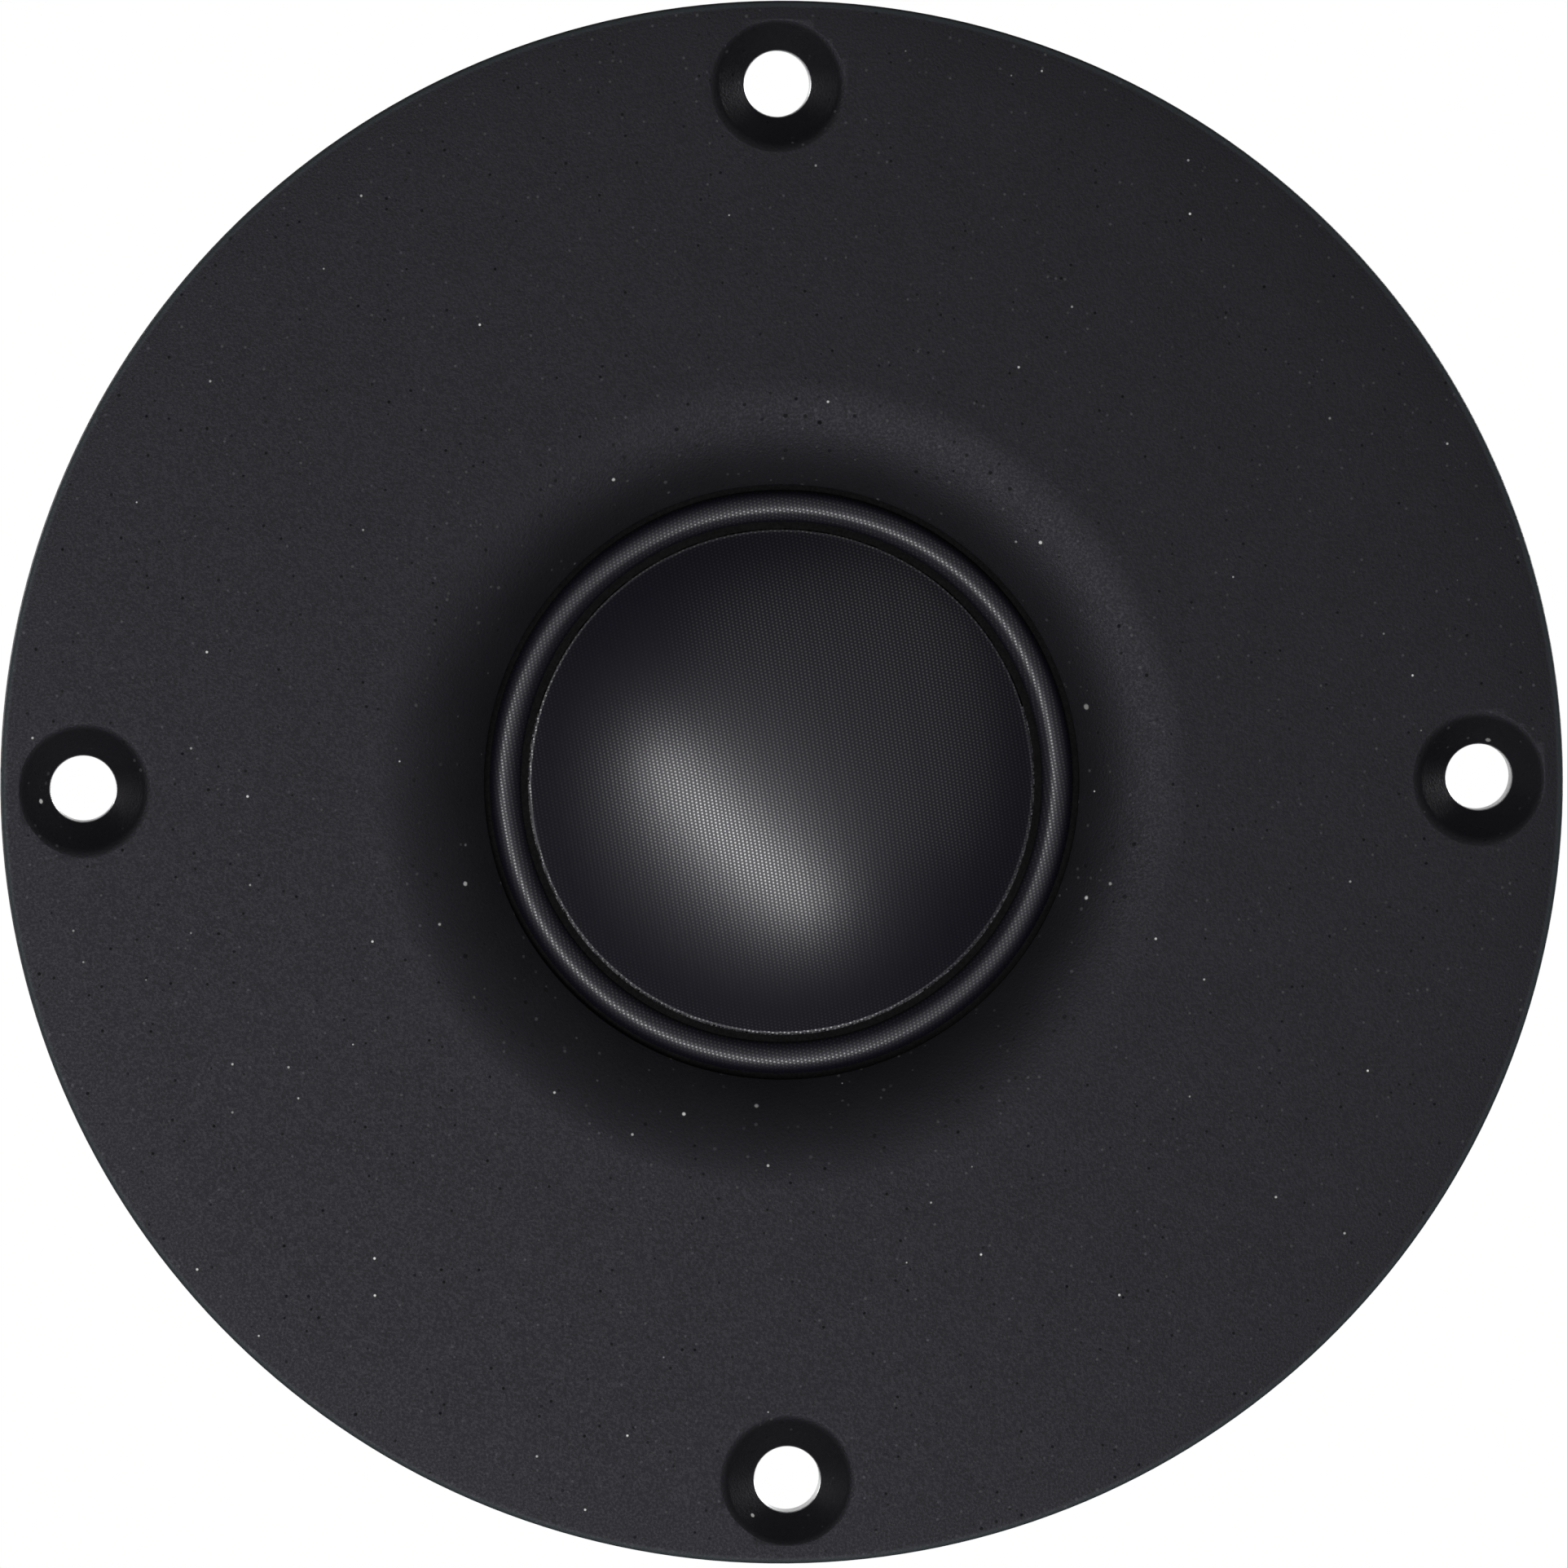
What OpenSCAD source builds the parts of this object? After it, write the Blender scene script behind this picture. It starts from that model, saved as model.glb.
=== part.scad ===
// Dome tweeter with a round screw-on faceplate, as an assembly of its separate pieces.
// Every profile is drawn as radius and height: height 0 is the back of the flange, which seats
// on the baffle, and height grows towards the listener. face_forward() then turns the height
// to -Y, so that the dome looks along -Y and +Z is up.

/* [Faceplate] */
// Diameter of the flange
flange_d = 104; // [102:1:115]
// Thickness of the flange
flange_t = 4.5; // [4.2:0.1:6]
// Chamfer round the flange's front edge
rim_chamfer = 0.4; // [0.2:0.1:0.8]
// Diameter of the circle that the mounting screws lie on
screw_circle_d = 93; // [92:0.5:94]
// Diameter of the mounting screw holes
screw_hole_d = 4.4; // [4:0.1:5]
// Diameter of the countersinks at the front
countersink_d = 8.5; // [7.5:0.1:8.8]
// Diameter at which the flat face starts to roll into the mouth
mouth_d = 54.2; // [50:0.1:58]
// Diameter of the lip round the surround
lip_d = 39.7; // [39.5:0.1:40]
// Height of the lip's front edge
lip_top = 1.5; // [1.3:0.1:1.8]
// Diameter of the hub on the back, which passes through the baffle
hub_d = 72; // [72:0.5:75]
// Depth of the hub behind the flange
hub_depth = 4; // [4:0.1:4.5]

/* [Diaphragm] */
// Diameter of the dome at its base
dome_d = 33.2; // [33:0.1:33.4]
// Height of the dome from its base
dome_h = 5.4; // [4:0.1:8]
// Thickness of the dome's coated fabric
dome_t = 0.35; // [0.2:0.05:0.4]
// Thickness of the surround's fabric
surround_t = 0.25; // [0.15:0.05:0.3]
// Inner diameter of the surround's half-roll
roll_inner_d = 34.7; // [34.6:0.1:35]
// Outer diameter of the surround's half-roll
roll_outer_d = 39; // [38.6:0.1:39.1]
// Outer diameter of the surround's clamped rim
surround_rim_d = 44; // [42:0.5:46]

/* [Voice coil] */
// Inner diameter of the former
former_d = 33.4; // [33.3:0.05:33.5]
// Wall of the former
former_t = 0.2; // [0.1:0.05:0.2]
// Height at which the former ends at the rear
former_end = -9; // [-10:0.1:-8]
// Thickness of the winding
winding_t = 0.4; // [0.2:0.05:0.5]
// Length of the winding
winding_l = 3; // [2:0.1:3.5]

/* [Motor] */
// Diameter of the ring magnet
magnet_d = 60; // [54:1:61]
// Inner diameter of the ring magnet
magnet_bore_d = 39; // [37:0.5:42]
// Thickness of the ring magnet
magnet_t = 12; // [11:0.5:16]
// Thickness of the front plate
top_plate_t = 4; // [4:0.1:5]
// Inner diameter of the front plate, round the winding
gap_d = 35.5; // [35.3:0.1:36]
// Diameter of the pole
pole_d = 32.4; // [32:0.1:32.5]
// Diameter of the vent through the pole
vent_d = 16; // [10:0.5:18]
// Diameter of the back plate
back_plate_d = 56; // [54:1:60]
// Thickness of the back plate
back_plate_t = 5; // [5:0.5:8]

/* [Rear chamber] */
// Outer diameter of the cup
cup_d = 44; // [43.5:0.5:45]
// Length of the cup behind its flange
cup_l = 16; // [10:1:24]
// Wall of the cup
cup_wall = 2.4; // [2:0.1:3]
// Rounding of the cup's rear edge
cup_round = 4; // [3:0.5:6]

/* [Terminals] */
// Width of the positive blade
positive_w = 4.8; // [4.8:0.1:5]
// Width of the negative blade
negative_w = 2.8; // [2.8:0.1:3]
// Length of the blades behind the terminal block
blade_l = 8; // [6:0.5:10]

/* [Hidden] */
$fn = 96;

through = 0.5;           // how far a cut runs past a face
fit_gap = 0.05;          // radial clearance of a screw or plug in its own hole

// Heights of the stack, from the diaphragm to the rear
rim_z = 0.6;                                   // back of the surround's flat rim
seat_z = rim_z + surround_t;                   // front of the rim, under the faceplate
hub_z = -hub_depth;                            // back of the hub, on the front plate
magnet_z = hub_z - top_plate_t;                // front of the magnet
back_plate_z = magnet_z - magnet_t;            // front of the back plate
motor_end = back_plate_z - back_plate_t;       // back of the back plate
pole_top = hub_z + 0.5;

// Faceplate
flange_r = flange_d / 2;
mouth_r = mouth_d / 2;
lip_r = lip_d / 2;
hub_r = hub_d / 2;
recess_r = 30.8;                               // round the mounting ring
mouth_drop = flange_t - lip_top;
mouth_arc = (pow(mouth_r - lip_r, 2) + pow(mouth_drop, 2)) / (2 * mouth_drop);
countersink_depth = (countersink_d - screw_hole_d) / 2;   // a right-angled cone
groove = [38.5, 43, 1];                        // gasket groove: inner, outer radius, depth

// Diaphragm
dome_r = dome_d / 2;
dome_base = seat_z + 0.1;
dome_sphere = (pow(dome_r, 2) + pow(dome_h, 2)) / (2 * dome_h);
dome_lip = [16, 17, 0.25];                     // inner, outer radius, thickness
roll_mid = (roll_inner_d + roll_outer_d) / 4;
roll_r = (roll_outer_d - roll_inner_d) / 4;
cuff_r = 16.5;                                 // the surround's inner edge
winding_mid = hub_z - top_plate_t / 2;

// Motor
ring_r = [19.6, 30.5];                         // mounting ring
cap_t = 0.25;                                  // copper cap
cap_l = 6;
screw_spots = [45, 135, 225, 315];
motor_screw_r = 33.4;                          // radius of their circle
pin_spots = [0, 180];
pin_circle_r = 26;
pin_r = 1.25;
pin_span = [-7, -1];

// Terminals, at the bottom
notch_w = 13.2;                                // notch in the front plate
notch_y = -31;                                 // its floor
block_end = magnet_z - 5;
blade_t = 0.8;
blade_y = -33.2;
blade_top = -1.6;
blade_end = block_end - blade_l;
positive_x = -3.3;
negative_x = 3.7;
lead_r = 0.25;
lead_groove_w = 1;
lead_groove_z = -2.2;                          // floor of the groove
wire_sides = 8;
// Way of a lead-out wire, as radius side (y) and height: from the former, in a slack loop under
// the half-roll, along the groove in the mounting ring and down to the top of its blade
lead_route = [[-16.95, -1.1], [-17.3, -1.7], [-17.9, -2.2], [-18.6, -2.2], [-19.2, -1.7],
    [-19.8, -1.1], [-20.6, -0.9], [-26, -0.9], [-31.4, -0.9], [-32.4, -0.95], [-33, -1.1],
    [-33.2, -1.35]];

// Rear chamber
cup_r = cup_d / 2;
cup_flange_t = 3;
cup_end = motor_end - cup_flange_t - cup_l;
seal_r = [20.3, 21.9];
seal_depth = 1;
cup_screw_spots = [90, 210, 330];
cup_screw_circle_r = 25.2;

module face_forward() {
    rotate([90, 0, 0]) children();
}

// A ring with a rectangular section, between two radii and two heights
module ring(inner, outer, low, high) {
    rotate_extrude() translate([inner, low]) square([outer - inner, high - low]);
}

// Copies of the children round the axis
module around(spots, radius) {
    for (a = spots) rotate(a) translate([radius, 0, 0]) children();
}

// A pan head screw along the axis: its head lies below height top, its shank reaches up
module pan_screw(shank_r, head_r, head_t, top, reach) {
    difference() {
        union() {
            translate([0, 0, top]) cylinder(r = shank_r, h = reach);
            rotate_extrude() intersection() {
                translate([0, top - head_t]) square([head_r, head_t]);
                translate([0, top - head_t + head_r * 1.25]) circle(r = head_r * 1.25);
            }
        }
        for (turn = [0, 90]) rotate(turn)
            translate([-head_r * 0.6, -head_r * 0.12, top - head_t - through])
                cube([head_r * 1.2, head_r * 0.24, through + head_t * 0.55]);
    }
}

module faceplate() {
    color([0.17, 0.17, 0.18]) face_forward() difference() {
        rotate_extrude() {
            intersection() {
                translate([mouth_r, flange_t - mouth_arc]) circle(r = mouth_arc, $fn = 180);
                translate([lip_r, seat_z]) square([mouth_r - lip_r, flange_t - seat_z]);
            }
            difference() {
                polygon([[mouth_r, seat_z], [recess_r, seat_z], [recess_r, hub_z], [hub_r, hub_z],
                    [hub_r, 0], [flange_r, 0], [flange_r, flange_t - rim_chamfer],
                    [flange_r - rim_chamfer, flange_t], [mouth_r, flange_t]]);
                translate([groove[0], -through])
                    square([groove[1] - groove[0], groove[2] + through]);
            }
        }
        around([0, 90, 180, 270], screw_circle_d / 2) mounting_hole();
        around(screw_spots, motor_screw_r)
            translate([0, 0, hub_z - through]) cylinder(r = 1.5, h = 6 + through);
        terminal_pocket();
    }
}

// A countersunk through hole
module mounting_hole() {
    r = screw_hole_d / 2;
    top_r = countersink_d / 2;
    rotate_extrude() polygon([[0, -through], [r, -through], [r, flange_t - countersink_depth],
        [top_r, flange_t], [top_r, flange_t + through], [0, flange_t + through]]);
}

// The room in the hub for the terminal block's ears and for the ends of the leads
module terminal_pocket() {
    translate([-7.5, -34.5, hub_z - through]) cube([15, 4.5, 1.95 + through]);
    translate([-6.2, -34, hub_z - through]) cube([12.4, 4, 3.5 + through]);
}

module dome() {
    color([0.24, 0.24, 0.26]) face_forward() rotate_extrude() {
        intersection() {
            translate([0, dome_base + dome_h - dome_sphere]) difference() {
                circle(r = dome_sphere, $fn = 360);
                circle(r = dome_sphere - dome_t, $fn = 360);
            }
            translate([0, dome_base]) square([dome_r, dome_h + through]);
        }
        translate([dome_lip[0], seat_z]) square([dome_lip[1] - dome_lip[0], dome_lip[2]]);
    }
}

module surround() {
    color([0.2, 0.2, 0.22]) face_forward() rotate_extrude() {
        intersection() {
            translate([roll_mid, rim_z]) difference() {
                circle(r = roll_r);
                circle(r = roll_r - surround_t);
            }
            translate([0, rim_z]) square([roll_outer_d, roll_r + through]);
        }
        translate([cuff_r, rim_z]) square([roll_mid - roll_r + surround_t - cuff_r, surround_t]);
        translate([roll_mid + roll_r - surround_t, rim_z])
            square([surround_rim_d / 2 - roll_mid - roll_r + surround_t, surround_t]);
    }
}

module mounting_ring() {
    color([0.12, 0.12, 0.13]) face_forward() difference() {
        union() {
            ring(ring_r[0], ring_r[1], hub_z, rim_z);
            ring(surround_rim_d / 2 + 0.1, ring_r[1], rim_z, seat_z);
        }
        for (x = [positive_x, negative_x])
            translate([x - lead_groove_w / 2, -ring_r[1] - through, lead_groove_z])
                cube([lead_groove_w, ring_r[1] - ring_r[0] + 2, seat_z - lead_groove_z + through]);
        around(pin_spots, pin_circle_r)
            translate([0, 0, hub_z - through])
                cylinder(r = pin_r + fit_gap, h = pin_span[1] - hub_z + 0.2 + through);
    }
}

module coil_former() {
    color([0.7, 0.7, 0.72]) face_forward()
        ring(former_d / 2, former_d / 2 + former_t, former_end, rim_z);
}

module coil_winding() {
    inner = former_d / 2 + former_t;
    color([0.72, 0.4, 0.2]) face_forward()
        ring(inner, inner + winding_t, winding_mid - winding_l / 2, winding_mid + winding_l / 2);
}

// A thin wire along lead_route in the plane at one x, with a ring of corners at each point
module lead(x) {
    last = len(lead_route) - 1;
    corners = [for (i = [0 : last], k = [0 : wire_sides - 1])
        let (way = lead_route[min(i + 1, last)] - lead_route[max(i - 1, 0)],
            side = [-way[1], way[0]] / norm(way),
            a = 360 * k / wire_sides,
            middle = lead_route[i])
        [x + lead_r * cos(a), middle[0] + lead_r * sin(a) * side[0],
            middle[1] + lead_r * sin(a) * side[1]]];
    walls = [for (i = [0 : last - 1], k = [0 : wire_sides - 1])
        let (next = (k + 1) % wire_sides, row = i * wire_sides)
        [row + k, row + next, row + wire_sides + next, row + wire_sides + k]];
    start = [for (k = [wire_sides - 1 : -1 : 0]) k];
    end = [for (k = [0 : wire_sides - 1]) last * wire_sides + k];
    polyhedron(corners, concat(walls, [start, end]), convexity = 4);
}

module lead_positive() {
    color([0.75, 0.5, 0.3]) face_forward() lead(positive_x);
}

module lead_negative() {
    color([0.75, 0.5, 0.3]) face_forward() lead(negative_x);
}

module terminal_block() {
    color([0.1, 0.1, 0.1]) face_forward() difference() {
        union() {
            translate([-7.4, -34.3, hub_z]) cube([14.8, 34.3 + notch_y - 0.1, 1.9]);
            intersection() {
                translate([-notch_w / 2 + 0.1, -hub_r, block_end])
                    cube([notch_w - 0.2, hub_r + notch_y - 0.1, hub_z - block_end]);
                translate([0, 0, block_end]) cylinder(r = hub_r - 0.3, h = 20);
            }
        }
        blade_slot(positive_x, positive_w);
        blade_slot(negative_x, negative_w);
    }
}

module blade_slot(x, width) {
    translate([x - width / 2, blade_y - blade_t / 2, block_end - through])
        cube([width, blade_t, blade_top - block_end + 2 * through]);
}

// A flat blade with a tapered tip and the small locking hole of its size
module blade(x, width, hole_r) {
    tip = width * 0.18;
    translate([x, blade_y + blade_t / 2, 0]) rotate([90, 0, 0]) linear_extrude(blade_t)
        difference() {
            polygon([[-width / 2, blade_top], [-width / 2, blade_end + tip],
                [-width / 2 + tip, blade_end], [width / 2 - tip, blade_end],
                [width / 2, blade_end + tip], [width / 2, blade_top]]);
            translate([0, blade_end + 2.6]) circle(r = hole_r, $fn = 32);
        }
}

module terminal_positive() {
    color([0.8, 0.78, 0.7]) face_forward() blade(positive_x, positive_w, 0.7);
}

module terminal_negative() {
    color([0.8, 0.78, 0.7]) face_forward() blade(negative_x, negative_w, 0.6);
}

module top_plate() {
    color([0.3, 0.3, 0.31]) face_forward() difference() {
        ring(gap_d / 2, hub_r, magnet_z, hub_z);
        around(screw_spots, motor_screw_r)
            translate([0, 0, magnet_z - through]) cylinder(r = 1.7, h = top_plate_t + 2 * through);
        around(pin_spots, pin_circle_r)
            translate([0, 0, pin_span[0] - 0.2]) cylinder(r = pin_r + fit_gap, h = 10);
        translate([-notch_w / 2, notch_y - 10, magnet_z - through])
            cube([notch_w, 10, top_plate_t + 2 * through]);
    }
}

module ferrite_magnet() {
    bevel = 0.6;
    r = magnet_d / 2;
    bore = magnet_bore_d / 2;
    color([0.2, 0.2, 0.2]) face_forward() rotate_extrude()
        polygon([[bore, back_plate_z], [r - bevel, back_plate_z], [r, back_plate_z + bevel],
            [r, magnet_z - bevel], [r - bevel, magnet_z], [bore, magnet_z]]);
}

module pole_yoke() {
    bevel = 0.8;
    r = back_plate_d / 2;
    vent = vent_d / 2;
    pole = pole_d / 2;
    color([0.32, 0.32, 0.33]) face_forward() difference() {
        rotate_extrude() polygon([[vent, motor_end], [r - bevel, motor_end],
            [r, motor_end + bevel], [r, back_plate_z], [pole, back_plate_z], [pole, pole_top],
            [vent, pole_top]]);
        around(cup_screw_spots, cup_screw_circle_r)
            translate([0, 0, motor_end - through]) cylinder(r = 1.25, h = 4 + through);
    }
}

module copper_cap() {
    outer = pole_d / 2 + cap_t;
    color([0.75, 0.42, 0.25]) face_forward() rotate_extrude()
        polygon([[vent_d / 2, pole_top], [pole_d / 2, pole_top], [pole_d / 2, pole_top - cap_l],
            [outer, pole_top - cap_l], [outer, pole_top + cap_t], [vent_d / 2, pole_top + cap_t]]);
}

module pole_pad() {
    color([0.35, 0.35, 0.36]) face_forward()
        ring(vent_d / 2 + 0.5, 14.5, pole_top + cap_t, 0.3);
}

module vent_damping() {
    color([0.4, 0.4, 0.4]) face_forward() translate([0, 0, motor_end + 1])
        cylinder(r = vent_d / 2 - fit_gap, h = 5);
}

module rear_chamber() {
    inner = cup_r - cup_wall;
    flange_back = motor_end - cup_flange_t;
    color([0.09, 0.09, 0.1]) face_forward() difference() {
        rotate_extrude() {
            translate([inner, flange_back]) square([back_plate_d / 2 - inner, cup_flange_t]);
            difference() {
                rounded_end(cup_r, cup_round, cup_end, motor_end);
                rounded_end(inner, cup_round - cup_wall + 1, cup_end + cup_wall,
                    motor_end + through);
            }
        }
        ring(seal_r[0], seal_r[1], motor_end - seal_depth, motor_end + through);
        around(cup_screw_spots, cup_screw_circle_r)
            translate([0, 0, flange_back - through]) cylinder(r = 1.4, h = 6);
    }
}

// Half section of a plug from height low to high, with its low outer edge rounded
module rounded_end(outer, round_r, low, high) {
    translate([0, low + round_r]) square([outer, high - low - round_r]);
    translate([0, low]) square([outer - round_r, round_r]);
    translate([outer - round_r, low + round_r]) intersection() {
        circle(r = round_r, $fn = 64);
        translate([0, -round_r]) square(round_r);
    }
}

module chamber_wadding() {
    color([0.75, 0.75, 0.72]) face_forward() rotate_extrude()
        rounded_end(cup_r - cup_wall - 0.2, 2.4, cup_end + cup_wall + 0.2, motor_end - 1.2);
}

module chamber_seal() {
    color([0.05, 0.05, 0.05]) face_forward()
        ring(seal_r[0] + fit_gap, seal_r[1] - fit_gap, motor_end - seal_depth, motor_end);
}

module chamber_screws() {
    color([0.6, 0.6, 0.62]) face_forward() around(cup_screw_spots, cup_screw_circle_r)
        pan_screw(1.2, 2.2, 1.5, motor_end - cup_flange_t, cup_flange_t + 3.5);
}

module motor_screws() {
    color([0.6, 0.6, 0.62]) face_forward() around(screw_spots, motor_screw_r)
        pan_screw(1.45, 2.5, 1.8, magnet_z, top_plate_t + 5.5);
}

module locating_pins() {
    color([0.65, 0.65, 0.66]) face_forward() around(pin_spots, pin_circle_r)
        translate([0, 0, pin_span[0]]) cylinder(r = pin_r, h = pin_span[1] - pin_span[0]);
}

module baffle_gasket() {
    color([0.06, 0.06, 0.06]) face_forward()
        ring(groove[0] + fit_gap, groove[1] - fit_gap, 0, groove[2]);
}

faceplate();
dome();
surround();
mounting_ring();
coil_former();
coil_winding();
lead_positive();
lead_negative();
terminal_block();
terminal_positive();
terminal_negative();
top_plate();
ferrite_magnet();
pole_yoke();
copper_cap();
pole_pad();
vent_damping();
rear_chamber();
chamber_wadding();
chamber_seal();
chamber_screws();
motor_screws();
locating_pins();
baffle_gasket();
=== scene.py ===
"""Dome tweeter: fine shapes, finishes, light and camera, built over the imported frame.

The listener's side is -Y. Lengths in this file are millimetres, and every half section is a list
of (radius, height) points, where height grows from the back of the flange towards the listener.
"""

import logging
import math
from collections.abc import Callable
from dataclasses import dataclass
from enum import Enum
from itertools import pairwise

import bmesh
import bpy
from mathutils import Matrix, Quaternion, Vector


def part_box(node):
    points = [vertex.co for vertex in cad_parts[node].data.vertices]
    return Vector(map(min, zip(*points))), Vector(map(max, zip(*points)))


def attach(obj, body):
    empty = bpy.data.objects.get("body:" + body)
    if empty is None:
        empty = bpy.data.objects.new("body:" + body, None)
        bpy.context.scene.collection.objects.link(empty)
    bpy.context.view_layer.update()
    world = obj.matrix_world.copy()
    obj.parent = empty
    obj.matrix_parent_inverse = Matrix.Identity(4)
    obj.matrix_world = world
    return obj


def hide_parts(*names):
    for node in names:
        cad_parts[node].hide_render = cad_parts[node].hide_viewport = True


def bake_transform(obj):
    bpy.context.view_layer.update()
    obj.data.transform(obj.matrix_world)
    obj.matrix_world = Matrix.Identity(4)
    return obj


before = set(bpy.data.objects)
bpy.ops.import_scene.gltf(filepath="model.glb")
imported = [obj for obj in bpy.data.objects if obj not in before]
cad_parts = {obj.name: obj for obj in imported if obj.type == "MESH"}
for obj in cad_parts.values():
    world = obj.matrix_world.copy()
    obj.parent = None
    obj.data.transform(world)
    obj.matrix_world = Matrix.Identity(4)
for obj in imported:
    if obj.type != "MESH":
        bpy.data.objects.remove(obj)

MM = 0.001
TURN_STEPS = 256

Point = tuple[float, float]
Place = tuple[float, float, float]
Colour = tuple[float, float, float]
Socket = bpy.types.NodeSocket
Feed = Socket | float | Colour
Outputs = dict[str, Socket]
Inputs = bpy.types.bpy_prop_collection

PLATE_HOLES = [0, 90, 180, 270]  # places round the axis, in degrees
MOTOR_SCREWS = [45, 135, 225, 315]
PINS = [0, 180]
CHAMBER_SCREWS = [90, 210, 330]

POSITIVE_X = -3.3  # the two sides of the terminal block
NEGATIVE_X = 3.7

log = logging.getLogger("tweeter")


# ---------------------------------------------------------------------------------------------
# Half sections
# ---------------------------------------------------------------------------------------------


@dataclass(frozen=True)
class Corner:
    """A corner of a half section, with the radius that it is rounded to."""

    radius: float
    height: float
    rounding: float = 0.0


def arc(centre: Point, radius: float, start: float, end: float, steps: int) -> list[Point]:
    """Points along a circular arc of a half section.

    Args:
        centre: Its centre, as radius and height.
        radius: Its own radius.
        start: Angle of the first point in degrees, from the outward radius towards the front.
        end: Angle of the last point.
        steps: Number of straight pieces.

    Returns:
        The points, both ends included.
    """
    angles = [math.radians(start + (end - start) * i / steps) for i in range(steps + 1)]
    return [(centre[0] + radius * math.cos(a), centre[1] + radius * math.sin(a)) for a in angles]


def rounded(corners: list[Corner], closed: bool = True, steps: int = 5) -> list[Point]:
    """Rounds the corners of an outline with tangent curves.

    Args:
        corners: The outline's corners in order.
        closed: Whether the last corner joins the first.
        steps: Number of straight pieces in each round.

    Returns:
        The outline's points.
    """
    points: list[Point] = []
    count = len(corners)
    for i, c in enumerate(corners):
        at = Vector((c.radius, c.height))
        ends = not closed and i in (0, count - 1)
        if c.rounding <= 0 or ends:
            points.append((at.x, at.y))
            continue
        before, after = corners[i - 1], corners[(i + 1) % count]
        back = Vector((before.radius, before.height)) - at
        on = Vector((after.radius, after.height)) - at
        half = back.angle(on) / 2
        reach = min(c.rounding / math.tan(half), back.length * 0.49, on.length * 0.49)
        first = at + back.normalized() * reach
        last = at + on.normalized() * reach
        for k in range(steps + 1):
            t = k / steps
            spot = first * (1 - t) ** 2 + at * 2 * t * (1 - t) + last * t**2
            points.append((spot.x, spot.y))
    return points


# ---------------------------------------------------------------------------------------------
# Modelling by hand, in code
# ---------------------------------------------------------------------------------------------


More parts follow.
